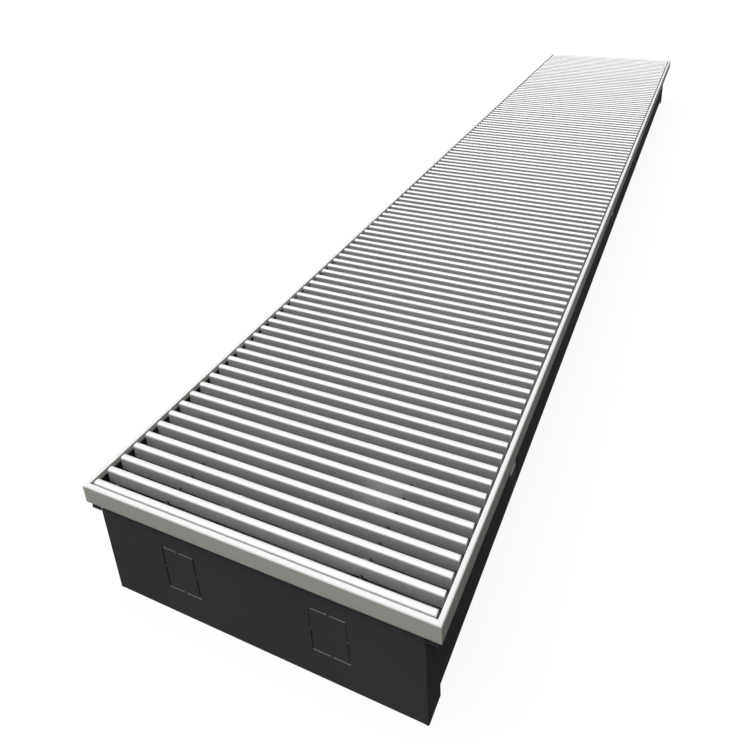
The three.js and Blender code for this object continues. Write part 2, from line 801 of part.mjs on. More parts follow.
// The air vent on the crown of the return bend, with its slotted screw.
function makeVent() {
  const group = new THREE.Group();
  const bendRadius = pipeOut - tubePitch;
  const bendOuter = tubeRadius + seatGap + tubeWall;
  const bore = ventScrewRadius + seatGap;
  const seat = ventHeight - ventScrewDepth;
  const body = revolve(
    [
      [0, 0],
      [ventRadius - ventEdge, 0],
      [ventRadius, ventEdge],
      [ventRadius, ventHeight],
      [bore, ventHeight],
      [bore, seat],
      [0, seat],
    ],
    ventSides,
  );
  const crown = solid(body);
  const screwTopHeight = ventHeight + seatGap + ventHeadHeight;
  const stem = revolve(
    [
      [0, seat + seatGap],
      [ventScrewRadius, seat + seatGap],
      [ventScrewRadius, ventHeight + seatGap],
      [ventRadius, ventHeight + seatGap],
      [ventRadius, screwTopHeight],
      [0, screwTopHeight],
    ],
    ventSides,
  );
  const slot = block(
    [-2 * ventRadius, -ventSlot / 2, screwTopHeight - ventSlotDepth],
    [2 * ventRadius, ventSlot / 2, screwTopHeight + ventSlotDepth],
  );
  group.add(piece("vent_body", surface(crown), nickel));
  group.add(piece("vent_screw", surface(cut(solid(stem), slot)), nickel));
  group.position.set(0, bendStart - bendRadius, pipeHeight + bendOuter + seatGap);
  return group;
}

// ---------------------------------------------------------------- levelling feet

// Drawn for the +x wall at y = 0; the other wall's feet are turned half round.
function makeFoot(label) {
  const group = new THREE.Group();
  const outer = wallInner - seatGap;
  const leg = outer - bracketThickness / 2;
  const shelf = shelfTop - bracketThickness / 2;
  const angle = foldedSheet(
    [[leg, bracketTop], [leg, shelf], [outer - bracketReach, shelf]],
    bracketThickness,
    bracketThickness,
  );
  const nut = extrude(regularPolygon(6, screwNutFlats), screwNutHeight, "z");
  nut.translate(screwOut, 0, shelfTop - bracketThickness + weldDepth - screwNutHeight / 2);
  const bore = rod(screwRadius + screwClearance, 0, frameHeight, screwSides).translate(screwOut, 0, 0);
  const bracket = cut(join(solid(extrude(angle, bracketWidth, "y")), solid(nut)), solid(bore));

  const screwBottom = padFloor + seatGap;
  const shank = revolve(
    [
      [0, screwBottom],
      [screwRadius - screwTip, screwBottom],
      [screwRadius, screwBottom + screwTip],
      [screwRadius, screwTop],
      [0, screwTop],
    ],
    screwSides,
  );
  const socket = extrude(regularPolygon(6, hexSocket), 2 * hexSocketDepth, "z").translate(0, 0, screwTop);
  const screw = piece("foot_screw_" + label, surface(cut(solid(shank), solid(socket))), zinc);
  screw.position.x = screwOut;

  const cup = screwRadius + screwClearance;
  const pad = revolve(
    [
      [0, 0],
      [padRadius - padFloor, 0],
      [padRadius, padFloor],
      [cup + padFloor, padHeight],
      [cup, padHeight],
      [cup, padFloor],
      [0, padFloor],
    ],
    padSides,
  );
  const sole = piece("foot_pad_" + label, pad, rubber);
  sole.position.x = screwOut;
  group.add(piece("foot_bracket_" + label, surface(bracket), zinc), screw, sole);
  return group;
}

function makeFeet() {
  const group = new THREE.Group();
  footRows.forEach((y, row) => {
    for (const [side, turn] of [["right", 0], ["left", Math.PI]]) {
      const foot = makeFoot(side + "_" + (row + 1));
      foot.position.y = y;
      foot.rotation.z = turn;
      group.add(foot);
    }
  });
  return group;
}

// ---------------------------------------------------------------- assembly

const heater = new THREE.Group();
heater.add(makeTrough(), makeEndPanels(), makeFrame(), makeDampingStrips(), makeGrille());
heater.add(makeBrace("cross_brace_1", -braceSpacing / 2), makeBrace("cross_brace_2", braceSpacing / 2));
heater.add(makeFinPack(), makeHairpin("hairpin_supply", 1), makeHairpin("hairpin_return", -1));
heater.add(makeReturnBend());
heater.add(makeExchangerPlate("exchanger_plate_front", frontPlate, -1));
heater.add(makeExchangerPlate("exchanger_plate_rear", rearPlate, 1));
heater.add(makeSaddle(), makeValves(), makeVent(), makeFeet());

export default heater;
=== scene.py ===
# %% [markdown]
# # Trench convector heater
#
# This scene dresses a heater that is let into the floor: a dark folded steel trough with an end panel at
# each end, an aluminium frame round its mouth, a grille of cross bars lying flush in the frame, and a
# finned copper exchanger underneath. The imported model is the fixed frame: it holds every piece at its
# real place, and the pieces made here lie where it says. Lengths are in metres, +Z is up, and the
# heater runs along Y with its pipe end towards -Y.

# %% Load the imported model
import math

import bmesh
import bpy
from mathutils import Matrix, Vector


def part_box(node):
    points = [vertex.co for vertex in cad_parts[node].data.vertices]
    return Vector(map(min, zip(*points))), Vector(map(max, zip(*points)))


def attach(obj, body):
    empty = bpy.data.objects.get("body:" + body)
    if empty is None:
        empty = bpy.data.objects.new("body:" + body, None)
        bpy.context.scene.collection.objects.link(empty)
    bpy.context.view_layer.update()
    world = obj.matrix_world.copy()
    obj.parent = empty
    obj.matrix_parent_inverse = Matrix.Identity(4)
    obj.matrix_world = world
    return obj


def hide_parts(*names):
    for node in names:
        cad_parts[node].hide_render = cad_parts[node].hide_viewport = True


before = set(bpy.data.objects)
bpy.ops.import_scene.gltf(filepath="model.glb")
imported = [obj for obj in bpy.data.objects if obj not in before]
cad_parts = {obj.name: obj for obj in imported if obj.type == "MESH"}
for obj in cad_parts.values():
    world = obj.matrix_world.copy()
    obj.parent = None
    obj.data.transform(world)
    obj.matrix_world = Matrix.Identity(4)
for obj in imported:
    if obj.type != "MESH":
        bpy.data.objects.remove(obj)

scene = bpy.context.scene
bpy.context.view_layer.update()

# %% [markdown]
# ## The camera
#
# The photograph looks down the heater from its near right corner. Its corners were measured in the
# picture, and the place, direction and lens of a camera that puts the model's corners on them were
# worked out from that. The picture's vanishing lines meet above its middle, which a lens shift gives:
# the camera's aim stays where the perspective needs it, and the shift slides the framing down.

# %% Camera
camera_place = Vector((0.26291, -1.07615, 0.52714))
camera_aim = Vector((-0.390804, 0.838021, -0.380780))
camera_roll = math.radians(-2.347)
focal_length_mm = 34.258
shift_right = -0.0378
shift_up = -0.2546

camera = bpy.data.objects.new("camera", bpy.data.cameras.new("camera"))
camera.data.lens = focal_length_mm
camera.data.shift_x = shift_right
camera.data.shift_y = shift_up
turned = camera_aim.to_track_quat("-Z", "Y").to_matrix() @ Matrix.Rotation(camera_roll, 3, "Z")
camera.matrix_world = Matrix.Translation(camera_place) @ turned.to_4x4()
scene.collection.objects.link(camera)
scene.camera = camera
print("camera's right:", [round(value, 4) for value in turned.col[0]])

# %% [markdown]
# ## Outlines
#
# Almost every piece of this heater is a folded sheet or an extruded profile, so most shapes start as a
# flat outline. `rounded` turns a polygon with a radius at each corner into points, and `folded` gives
# the outline of a sheet of constant thickness that follows a path with bends, as a press brake makes it.
# Fine arcs matter more than they seem to: a bend's highlight is what makes sheet metal look like metal.

# %% Outline helpers
MM = 0.001


def arc(centre, start, end, steps):
    """Points from start to end round centre, the short way."""
    first = start - centre
    sweep = first.angle_signed(end - centre)
    points = []
    for i in range(steps + 1):
        spoke = first.copy()
        spoke.rotate(Matrix.Rotation(-sweep * i / steps, 2))
        points.append(centre + spoke)
    return points


def rounded(corners, steps=5):
    """A closed outline from corners (u, v, radius)."""
    points = []
    for i, (u, v, radius) in enumerate(corners):
        here = Vector((u, v))
        back = (Vector(corners[i - 1][:2]) - here).normalized()
        ahead = (Vector(corners[(i + 1) % len(corners)][:2]) - here).normalized()
        if radius == 0:
            points.append(here)
            continue
        half = back.angle(ahead) / 2
        centre = here + (back + ahead).normalized() * radius / math.sin(half)
        setback = radius / math.tan(half)
        points += arc(centre, here + back * setback, here + ahead * setback, steps)
    return points


def folded(path, thickness, bend, steps=6):
    """The outline of a sheet that follows a path through the middle of its thickness."""
    path = [Vector(point) for point in path]
    left, right = [], []

    def mark(point, heading):
        side = Vector((-heading.y, heading.x)) * thickness / 2
        left.append(point + side)
        right.append(point - side)

    headings = [(b - a).normalized() for a, b in zip(path, path[1:])]
    mark(path[0], headings[0])
    for corner, before, after in zip(path[1:], headings, headings[1:]):
        turn = math.atan2(before.x * after.y - before.y * after.x, before.dot(after))
        sign = math.copysign(1, turn)
        setback = bend * math.tan(abs(turn) / 2)
        spoke = Vector((-before.y, before.x)) * sign * bend
        pivot = corner - before * setback + spoke
        for i in range(steps + 1):
            spin = Matrix.Rotation(turn * i / steps, 2)
            mark(pivot - spin @ spoke, spin @ before)
    mark(path[-1], headings[-1])
    return left + right[::-1]


print("a folded corner has", len(folded([(0, 0), (1, 0), (1, 1)], 0.1, 0.2)), "points")

# %% [markdown]
# ## Solids from outlines
#
# A shape here is a plain pair, its vertices and its faces, so that shapes can be moved, repeated and
# merged before they become an object. `loft` skins a row of rings, and the others only say where the
# rings go: along a straight line, round an axis, or along a pipe's path.

# %% Solid helpers
def loft(rings, capped=True, looped=False):
    """Skins rings with the same number of points each."""
    size = len(rings[0])
    vertices = [Vector(point) for ring in rings for point in ring]
    faces = []
    for r in range(len(rings) if looped else len(rings) - 1):
        here, there = r * size, (r + 1) % len(rings) * size
        for i in range(size):
            j = (i + 1) % size
            faces.append((here + i, here + j, there + j, there + i))
    if capped and not looped:
        faces.append(tuple(range(size))[::-1])
        faces.append(tuple(range(len(vertices) - size, len(vertices))))
    return vertices, faces


AXES = {
    "x": lambda u, v, along: Vector((along, u, v)),
    "y": lambda u, v, along: Vector((u, along, v)),
    "z": lambda u, v, along: Vector((u, v, along)),
}


def extruded(outline, axis, low, high, edge=0.0):
    """An outline pushed along an axis, its two ends eased by edge."""
    place = AXES[axis]
    middle = sum(outline, Vector((0, 0))) / len(outline)

    def ring(along, ease):
        rows = []
        for point in outline:
            inwards = middle - point
            moved = point + inwards.normalized() * min(ease, inwards.length)
            rows.append(place(moved.x, moved.y, along))
        return rows

    if edge:
        return loft([ring(low, edge), ring(low + edge, 0), ring(high - edge, 0), ring(high, edge)])
    return loft([ring(low, 0), ring(high, 0)])


def revolved(profile, segments=48):
    """A profile of (radius, height) pairs turned round Z. It starts and ends on the axis, or is a ring."""
    on_axis = profile[0][0] == 0 and profile[-1][0] == 0
    inner = profile[1:-1] if on_axis else profile
    rings = []
    for radius, height in inner:
        angles = [2 * math.pi * i / segments for i in range(segments)]
        rings.append([Vector((radius * math.cos(a), radius * math.sin(a), height)) for a in angles])
    return loft(rings, looped=not on_axis)


def merged(*shapes):
    """Several shapes as one."""
    vertices, faces = [], []
    for points, polygons in shapes:
        faces += [tuple(index + len(vertices) for index in polygon) for polygon in polygons]
        vertices += points
    return vertices, faces


def placed(shape, place=(0, 0, 0), turn=0.0, axis="Z"):
    """A shape turned round an axis through the origin, then moved."""
    matrix = Matrix.Translation(place) @ Matrix.Rotation(turn, 4, axis)
    return [matrix @ point for point in shape[0]], shape[1]


def along_y(shape, place=(0, 0, 0)):
    """A shape made round Z, laid down so that its height runs along +Y."""
    return placed(shape, place, -math.pi / 2, "X")


def circle(radius, segments=24, middle=(0, 0)):
    angles = [2 * math.pi * (i + 0.5) / segments for i in range(segments)]
    return [Vector((middle[0] + radius * math.cos(a), middle[1] + radius * math.sin(a))) for a in angles]


def block(low, high):
    """A box between two corners, for punches only."""
    outline = [Vector((low[0], low[1])), Vector((high[0], low[1])), Vector((high[0], high[1])),
               Vector((low[0], high[1]))]
    return extruded(outline, "z", low[2], high[2])


print("helpers ready")

# %% [markdown]
# ## From shapes to pieces
#
# `raw` makes a Blender object and lets bmesh turn every face outwards. `carve` cuts one object with
# others by the Boolean modifier and keeps the result, which is how punched holes and slits are made.
# `dress` gives a piece its finish, smooths it except at real edges, and hangs it on the body it moves
# with. Weighted normals let the large flat faces stay flat next to a bend, where plain smoothing would
# draw a shadow along the fold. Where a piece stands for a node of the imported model, that node is hidden
# in its place.

# %% Piece helpers
smooth_below = math.radians(32)


def raw(name, shape):
    mesh = bpy.data.meshes.new(name)
    mesh.from_pydata([tuple(point) for point in shape[0]], [], shape[1])
    tidy = bmesh.new()
    tidy.from_mesh(mesh)
    bmesh.ops.recalc_face_normals(tidy, faces=tidy.faces)
    tidy.to_mesh(mesh)
    tidy.free()
    made = bpy.data.objects.new(name, mesh)
    scene.collection.objects.link(made)
    return made


def settle(piece):
    """Keeps the mesh that a piece's modifiers give."""
    bpy.context.view_layer.update()
    seen = piece.evaluated_get(bpy.context.evaluated_depsgraph_get())
    mesh = bpy.data.meshes.new_from_object(seen)
    piece.modifiers.clear()
    piece.data = mesh
    return piece


def carve(piece, shapes, operation="DIFFERENCE"):
    """Cuts or joins a piece with other shapes, one after the other."""
    for shape in shapes:
        tool = raw("carving_tool", shape)
        boolean = piece.modifiers.new("carve", "BOOLEAN")
        boolean.operation = operation
        boolean.solver = "EXACT"
        boolean.object = tool
        settle(piece)
        bpy.data.objects.remove(tool)
    return piece


def dress(piece, finish, body="casing", stands_for=()):
    piece.data.materials.clear()
    piece.data.materials.append(finish)
    piece.data.shade_smooth()
    piece.data.set_sharp_from_angle(angle=smooth_below)
    weighted = piece.modifiers.new("weighted", "WEIGHTED_NORMAL")
    weighted.keep_sharp = True
    settle(piece)
    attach(piece, body)
    if stands_for:
        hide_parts(*stands_for)
    return piece


def repeat(piece, count, step):
    """Copies a piece along a constant step."""
    row = piece.modifiers.new("repeat", "ARRAY")
    row.count = count
    row.use_relative_offset = False
    row.use_constant_offset = True
    row.constant_offset_displace = step
    return settle(piece)


print("piece helpers ready")

# %% [markdown]
# ## Finishes
#
# Each finish is a Principled shader with its own pattern of colour, roughness and relief. The patterns
# are noises in the piece's own coordinates, so a grain has the same real size on every piece: a noise of
# scale 1000 has grains of about a millimetre. Stretching a noise along one axis draws the fine lines that
# an extrusion die or a drawing ring leaves along metal.

# %% Finish helper
class Finish:
    """One Principled material with noises for colour, roughness and relief."""

    def __init__(self, name, metallic=0.0, specular=0.5):
        self.material = bpy.data.materials.new(name)
        self.material.use_nodes = True
        self.nodes = self.material.node_tree.nodes
        self.links = self.material.node_tree.links
        self.shader = self.nodes["Principled BSDF"]
        self.shader.inputs["Metallic"].default_value = metallic
        self.shader.inputs["Specular IOR Level"].default_value = specular
        self.places = self.nodes.new("ShaderNodeTexCoord")
        self.normal = None

    def grain(self, scale, stretch=(1, 1, 1), detail=3.0):
        """A noise from 0 to 1 in the piece's own coordinates."""
        mapping = self.nodes.new("ShaderNodeMapping")
        mapping.inputs["Scale"].default_value = stretch
        noise = self.nodes.new("ShaderNodeTexNoise")
        noise.inputs["Scale"].default_value = scale
        noise.inputs["Detail"].default_value = detail
        self.links.new(self.places.outputs["Object"], mapping.inputs["Vector"])
        self.links.new(mapping.outputs["Vector"], noise.inputs["Vector"])
        return noise.outputs["Fac"]

    def flakes(self, scale):
        """The patches of a crystalline coat."""
        cells = self.nodes.new("ShaderNodeTexVoronoi")
        cells.inputs["Scale"].default_value = scale
        self.links.new(self.places.outputs["Object"], cells.inputs["Vector"])
        split = self.nodes.new("ShaderNodeSeparateColor")
        self.links.new(cells.outputs["Color"], split.inputs["Color"])
        return split.outputs["Red"]

    def ranged(self, pattern, low, high, spread=0.25):
        """Maps the middle of a pattern to a range of values."""
        limits = self.nodes.new("ShaderNodeMapRange")
        limits.inputs["From Min"].default_value = 0.5 - spread
        limits.inputs["From Max"].default_value = 0.5 + spread
        limits.inputs["To Min"].default_value = low
        limits.inputs["To Max"].default_value = high
        self.links.new(pattern, limits.inputs["Value"])
        return limits.outputs["Result"]

    def rising(self, low, high):
        """From 0 where a surface's upward slope is low, to 1 where it is high."""
        split = self.nodes.new("ShaderNodeSeparateXYZ")
        self.links.new(self.places.outputs["Normal"], split.inputs["Vector"])
        limits = self.nodes.new("ShaderNodeMapRange")
        limits.inputs["From Min"].default_value = low
        limits.inputs["From Max"].default_value = high
        self.links.new(split.outputs["Z"], limits.inputs["Value"])
        return limits.outputs["Result"]

    def height(self, low, high):
        """From low at the bottom of the piece to high at its top."""
        split = self.nodes.new("ShaderNodeSeparateXYZ")
        self.links.new(self.places.outputs["Generated"], split.inputs["Vector"])
        return self.ranged(split.outputs["Z"], low, high, 0.5)

    def mixed(self, mask, first, second):
        """One tone or pattern of tones where the mask is 0, another where it is 1."""
        mix = self.nodes.new("ShaderNodeMix")
        mix.data_type = "RGBA"
        self.links.new(mask, mix.inputs["Factor"])
        for socket, tone in (("A", first), ("B", second)):
            if isinstance(tone, tuple):
                mix.inputs[socket].default_value = (*tone, 1)
            else:
                self.links.new(tone, mix.inputs[socket])
        self.tone = mix.outputs["Result"]
        self.links.new(self.tone, self.shader.inputs["Base Color"])
        return self.tone

    def colour(self, pattern, dark, light, spread=0.25):
        """Base colour between two tones."""
        self.mixed(self.ranged(pattern, 0, 1, spread), dark, light)

    def roughness(self, pattern, low, high, spread=0.25):
        self.links.new(self.ranged(pattern, low, high, spread), self.shader.inputs["Roughness"])

    def relief(self, pattern, depth, strength=1.0):
        """Bump of a real depth. A second call adds to the first."""
        bump = self.nodes.new("ShaderNodeBump")
        bump.inputs["Distance"].default_value = depth
        bump.inputs["Strength"].default_value = strength
        self.links.new(pattern, bump.inputs["Height"])
        if self.normal:
            self.links.new(self.normal, bump.inputs["Normal"])
        self.normal = bump.outputs["Normal"]
        self.links.new(self.normal, self.shader.inputs["Normal"])


print("finish helper ready")

# %% [markdown]
# ### Powder coat
#
# The trough and its end panels are painted anthracite. A baked powder coat flows together into a
# shallow orange-peel skin with a fine speckle, so it has two reliefs at two scales, a broad slight change
# of tone where the coat is thicker, and a low gloss. In the photograph the bends and cut edges that face
# upwards are a little lighter where they catch the light from above, so they get a painted highlight: a
# lighter tone, picked out by the slope of the surface. Tones and gloss are fitted to the photograph and
# weren't measured on a real coat.

# %% Powder coat
powder = Finish("anthracite_powder_coat", specular=0.04)
powder.colour(powder.grain(9, detail=4), (0.083, 0.088, 0.093), (0.098, 0.104, 0.111))
coat = powder.tone
# painted highlight: a lighter tone on surfaces that slope partly upwards, such as bends and eased slit edges,
# for the light they catch; level tops keep the coat's tone
upward_edge_painted_highlight = powder.mixed(powder.rising(0.35, 0.6), coat, (0.20, 0.205, 0.21))
powder.mixed(powder.rising(0.86, 0.96), upward_edge_painted_highlight, coat)
powder.roughness(powder.grain(700), 0.68, 0.8)
powder.relief(powder.grain(420, detail=2), 0.06 * MM, 0.5)
powder.relief(powder.grain(2600, detail=1), 0.02 * MM, 0.5)
powder_coat = powder.material

# %% [markdown]
# ### Anodised aluminium
#
# The frame and the grille bars are taken as natural anodised extrusions. In the photograph they look
# like a light matt grey, so the frame is made almost as a matt paint and the bars as a partly metallic
# one. Real anodised aluminium is more metallic than this, and would want a new look in other light. The
# die leaves fine lines along the profile: across the heater on the bars and the end rails, along it on
# the side rails. The flanks of the bars and the rails get a painted shade, darker tones than their crowns,
# and on the bars the painted shade deepens towards the foot. Both copy the shading seen in the
# photograph, by the slope of the surface and by the height.

# %% Anodised aluminium
def anodised(name, stretch, tones, shaded_flank_tones, foot_shade_tone=None, metallic=0.02):
    satin = Finish(name, metallic=metallic, specular=0.04)
    pattern = satin.ranged(satin.grain(60, stretch, detail=5), 0, 1)
    # painted shade: faces that don't point up get the darker flank tones, and on the bars a painted shade
    # deepens towards the foot
    flanks = satin.mixed(pattern, *shaded_flank_tones)
    if foot_shade_tone:
        flanks = satin.mixed(satin.height(0, 1), foot_shade_tone, flanks)
    satin.mixed(satin.rising(0.02, 0.5), flanks, satin.mixed(pattern, *tones))
    satin.roughness(satin.grain(300, stretch), 0.5, 0.62)
    satin.relief(satin.grain(1500, stretch, detail=2), 0.012 * MM, 0.6)
    satin.relief(satin.grain(3000, detail=1), 0.006 * MM, 0.4)
    return satin.material


across, along = (0.02, 1, 1), (1, 0.02, 1)
crown_tones = (0.84, 0.845, 0.84), (0.90, 0.905, 0.90)
# painted shade: the flank and foot tones are darker than the crown tones
bar_shaded_flank_tones = (0.66, 0.68, 0.675), (0.75, 0.77, 0.765)
bar_foot_shade_tone = (0.38, 0.39, 0.385)
rail_shaded_flank_tones = (0.80, 0.78, 0.71), (0.86, 0.84, 0.77)
bar_metallic = 0.4
bar_finish = anodised(
    "anodised_bars", across, crown_tones, bar_shaded_flank_tones, bar_foot_shade_tone, bar_metallic
)
cross_rail_finish = anodised("anodised_end_rails", across, crown_tones, rail_shaded_flank_tones)
side_rail_finish = anodised("anodised_side_rails", along, crown_tones, rail_shaded_flank_tones)

# %% [markdown]
# ### The metals inside
#
# Fin sheet is bright rolled aluminium with faint roll lines. The copper is drawn tube that has dulled
# unevenly. Valves and nuts are nickel-plated brass, and the plates, braces and feet are zinc-plated
# steel, whose coat shows as small crystal patches of different tone. The rods through the grille are
# drawn near-black, a painted shade that keeps them as dark as the shade low between the bars, because
# the photograph has no bright dots there. Their slot says zinc.

# %% Inner metals
fins = Finish("fin_sheet", metallic=0.35)
fins.colour(fins.grain(40, (1, 1, 0.1), detail=4), (0.78, 0.80, 0.82), (0.88, 0.89, 0.90))
fins.roughness(fins.grain(200, (1, 1, 0.1)), 0.26, 0.42)
fins.relief(fins.grain(500, (1, 1, 0.2)), 0.04 * MM, 0.6)
fin_sheet = fins.material

copper = Finish("drawn_copper", metallic=0.8)
copper.colour(copper.grain(35, (1, 0.4, 1), detail=6), (0.36, 0.15, 0.085), (0.70, 0.34, 0.21))
copper.roughness(copper.grain(150, (1, 0.3, 1)), 0.24, 0.46)
copper.relief(copper.grain(900, (1, 0.05, 1)), 0.015 * MM, 0.6)
drawn_copper = copper.material

nickel = Finish("nickel_plate", metallic=0.8)
nickel.colour(nickel.grain(120, detail=4), (0.50, 0.48, 0.43), (0.64, 0.62, 0.57))
nickel.roughness(nickel.grain(400), 0.2, 0.36)
nickel.relief(nickel.grain(900), 0.015 * MM, 0.5)
nickel_plate = nickel.material

zinc = Finish("zinc_plate", metallic=0.6)
zinc.colour(zinc.flakes(260), (0.50, 0.51, 0.53), (0.70, 0.72, 0.74), spread=0.5)
zinc.roughness(zinc.grain(500), 0.28, 0.46)
zinc.relief(zinc.grain(1200), 0.015 * MM, 0.5)
zinc_plate = zinc.material

# painted shade: the tie rods are zinc, drawn near-black so that they read as the shade between the bars
rod_dark_finish = Finish("rod_steel_painted_dark", metallic=0.6, specular=0.3)
rod_dark_finish.colour(rod_dark_finish.grain(220), (0.035, 0.035, 0.037), (0.06, 0.06, 0.062))
rod_dark_finish.roughness(rod_dark_finish.grain(500), 0.45, 0.6)
rod_dark_finish.relief(rod_dark_finish.grain(1400), 0.012 * MM, 0.5)
rod_steel_painted_dark = rod_dark_finish.material

# %% [markdown]
# ### Rubber and plastic
#
# The strips under the bars and the pads under the feet are black rubber, matt with a fine moulded
# texture. The valve caps are off-white moulded plastic with a soft sheen.

# %% Rubber and plastic
soft = Finish("black_rubber", specular=0.3)
soft.colour(soft.grain(80), (0.012, 0.012, 0.012), (0.022, 0.022, 0.023))
soft.roughness(soft.grain(600), 0.72, 0.9)
soft.relief(soft.grain(1800), 0.03 * MM, 0.6)
black_rubber = soft.material

moulded = Finish("white_cap_plastic", specular=0.45)
moulded.colour(moulded.grain(50), (0.72, 0.72, 0.70), (0.79, 0.79, 0.77))
moulded.roughness(moulded.grain(700), 0.36, 0.48)
moulded.relief(moulded.grain(2400), 0.012 * MM, 0.5)
cap_plastic = moulded.material
print("finishes:", len(bpy.data.materials))

# %% [markdown]
# ## The frame
#
# Four lengths of one extrusion, mitred at the corners: a slim hollow web that shows 4 mm wide at the top,
# a rounded lower outer edge, and a hollow ledge inside that the grille lies on. The profile is drawn
# once, with the distance inwards as u and the height as v, and each ring of it is cut back by its own u
# at both ends, which is exactly what a 45 degree saw cut does. The two chambers are carved out
# afterwards, because the corner keys that hold the frame together sit in them.

# %% Frame rails
frame_low, frame_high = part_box("frame_rail_front")
half_width = frame_high.x + 0.2 * MM
half_length = -frame_low.y
rail_base = frame_low.z
frame_top = frame_high.z
rail_height = frame_top - rail_base
rail_width = 4 * MM
rail_wall = 1 * MM
rail_corner = 3.4 * MM
seat_gap = 0.3 * MM
ledge_reach = 8 * MM
ledge_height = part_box("damping_strip_left")[0].z - seat_gap - rail_base
mitre_gap = 0.07 * MM

rail_profile = rounded([
    (0, 0, rail_corner),
    (rail_width + ledge_reach, 0, 0.4 * MM),
    (rail_width + ledge_reach, ledge_height, 0.6 * MM),
    (rail_width, ledge_height, 0.5 * MM),
    (rail_width, rail_height, 0.5 * MM),
    (0, rail_height, 1.7 * MM),
], steps=7)
web_hollow = rounded([
    (rail_wall, rail_corner + rail_wall, 0.3 * MM),
    (rail_width - rail_wall, rail_corner + rail_wall, 0.3 * MM),
    (rail_width - rail_wall, rail_height - rail_wall, 0.3 * MM),
    (rail_wall, rail_height - rail_wall, 0.3 * MM),
], steps=3)
ledge_hollow = rounded([
    (rail_width + rail_wall, rail_wall, 0.3 * MM),
    (rail_width + ledge_reach - rail_wall, rail_wall, 0.3 * MM),
    (rail_width + ledge_reach - rail_wall, ledge_height - rail_wall, 0.3 * MM),
    (rail_width + rail_wall, ledge_height - rail_wall, 0.3 * MM),
], steps=3)


def rail_shape(profile, half, reach, quarter, cut_back=1.0):
    """A profile along X, its outer face at y = -reach, turned by quarters round the heater.

    Its ends are mitred where cut_back is 1, and square where it is 0.
    """
    rings = []
    for sign in (-1, 1):
        rings.append([
            Vector((sign * (half - cut_back * point.x - mitre_gap), point.x - reach, rail_base + point.y))
            for point in profile
        ])
    return placed(loft(rings), turn=quarter * math.pi / 2)


rails = [
    ("front", half_width, half_length, cross_rail_finish),
    ("right", half_length, half_width, side_rail_finish),
    ("rear", half_width, half_length, cross_rail_finish),
    ("left", half_length, half_width, side_rail_finish),
]
for quarter, (side, half, reach, finish) in enumerate(rails):
    rail = raw("rail_" + side, rail_shape(rail_profile, half, reach, quarter))
    hollows = [
        rail_shape(hollow, half + rail_width, reach, quarter, 0) for hollow in (web_hollow, ledge_hollow)
    ]
    carve(rail, hollows)
    dress(rail, finish, stands_for=["frame_rail_" + side])
print("frame", round(2 * half_width, 4), "by", round(2 * half_length, 4))

for number in range(1, 5):
    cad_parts[f"corner_key_{number}"].data.materials.clear()
    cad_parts[f"corner_key_{number}"].data.materials.append(zinc_plate)

# %% [markdown]
# ## The grille
#
# Cross bars are strung on two tie rods, which hold them at one pitch. Every bar is alike, so one bar is
# drawn and an Array modifier lays out the rest. Its ends are eased a little, as a deburred saw cut is,
# and its top edges have a real radius, which gives each bar the soft bright line along its front edge.

# %% Grille bars
bar_width = 5.6 * MM
nominal_pitch = 14.27 * MM
front_low, front_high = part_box("grille_front_section")
rear_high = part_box("grille_rear_section")[1]
first_bar = front_low.y + bar_width / 2
last_bar = rear_high.y - bar_width / 2
bar_gaps = round((last_bar - first_bar) / nominal_pitch)
bar_pitch = (last_bar - first_bar) / bar_gaps
bars_in_front = round((front_high.y - front_low.y - bar_width) / bar_pitch) + 1
bar_half = bar_width / 2
crown_radius = 2 * MM
bar_outline = rounded([
    (-bar_half, front_low.z, 0.3 * MM),
    (bar_half, front_low.z, 0.3 * MM),
    (bar_half, frame_top, crown_radius),
    (-bar_half, frame_top, crown_radius),
], steps=8)
bar_shape = extruded(bar_outline, "x", front_low.x, front_high.x, edge=0.25 * MM)


def grille_section(label, first, count, body, node):
    bars = repeat(raw("grille_bars_" + label, placed(bar_shape, (0, first, 0))), count, (0, bar_pitch, 0))
    dress(bars, bar_finish, body, [node])


grille_section("front", first_bar, bars_in_front, "grille_front", "grille_front_section")
rear_first = first_bar + bars_in_front * bar_pitch
bars_in_rear = bar_gaps + 1 - bars_in_front
grille_section("rear", rear_first, bars_in_rear, "grille_rear", "grille_rear_section")
print("bars:", bars_in_front, "+", bars_in_rear, "pitch", round(bar_pitch * 1000, 3), "mm")

# %% [markdown]
# The rods run low through the bars, where they hardly show from above. They are seen when a section is
# lifted out, so they are real pieces too: a drawn rod through every bar, with a small flat riveted head
# proud of the first bar and of the last.

# %% Tie rods
rod_radius = 1.2 * MM
rod_height = front_low.z + 1.5 * MM
rod_out = front_high.x - 60 * MM
rivet_rise = 0.5 * MM
rivet_radius = 1.45 * MM


def tie_rods(label, first, count, body):
    end = (count - 1) * bar_pitch + bar_half
    rod_shape = revolved([
        (0, -bar_half - rivet_rise), (rivet_radius - 0.3 * MM, -bar_half - rivet_rise),
        (rivet_radius, -bar_half - 0.2 * MM), (rivet_radius, -bar_half), (rod_radius, -bar_half),
        (rod_radius, end), (rivet_radius, end), (rivet_radius, end + 0.2 * MM),
        (rivet_radius - 0.3 * MM, end + rivet_rise), (0, end + rivet_rise),
    ], 20)
    for side, x in (("right", rod_out), ("left", -rod_out)):
        rod = raw(f"tie_rod_{label}_{side}", along_y(rod_shape, (x, first, rod_height)))
        dress(rod, rod_steel_painted_dark, body)


tie_rods("front", first_bar, bars_in_front, "grille_front")
tie_rods("rear", rear_first, bars_in_rear, "grille_rear")

# %% [markdown]
# Each side ledge carries an angle of black rubber. Its foot, with three soft ribs, lies under the ends of
# the bars and keeps them from rattling, and its lip stands between the bar ends and the rail, which is
# the black line seen along both sides of the grille. It is one extruded outline, mirrored for the left.

# %% Damping strips
strip_foot = 1.2 * MM
strip_lip = 0.8 * MM
strip_ribs = 3
rib_rise = 0.4 * MM


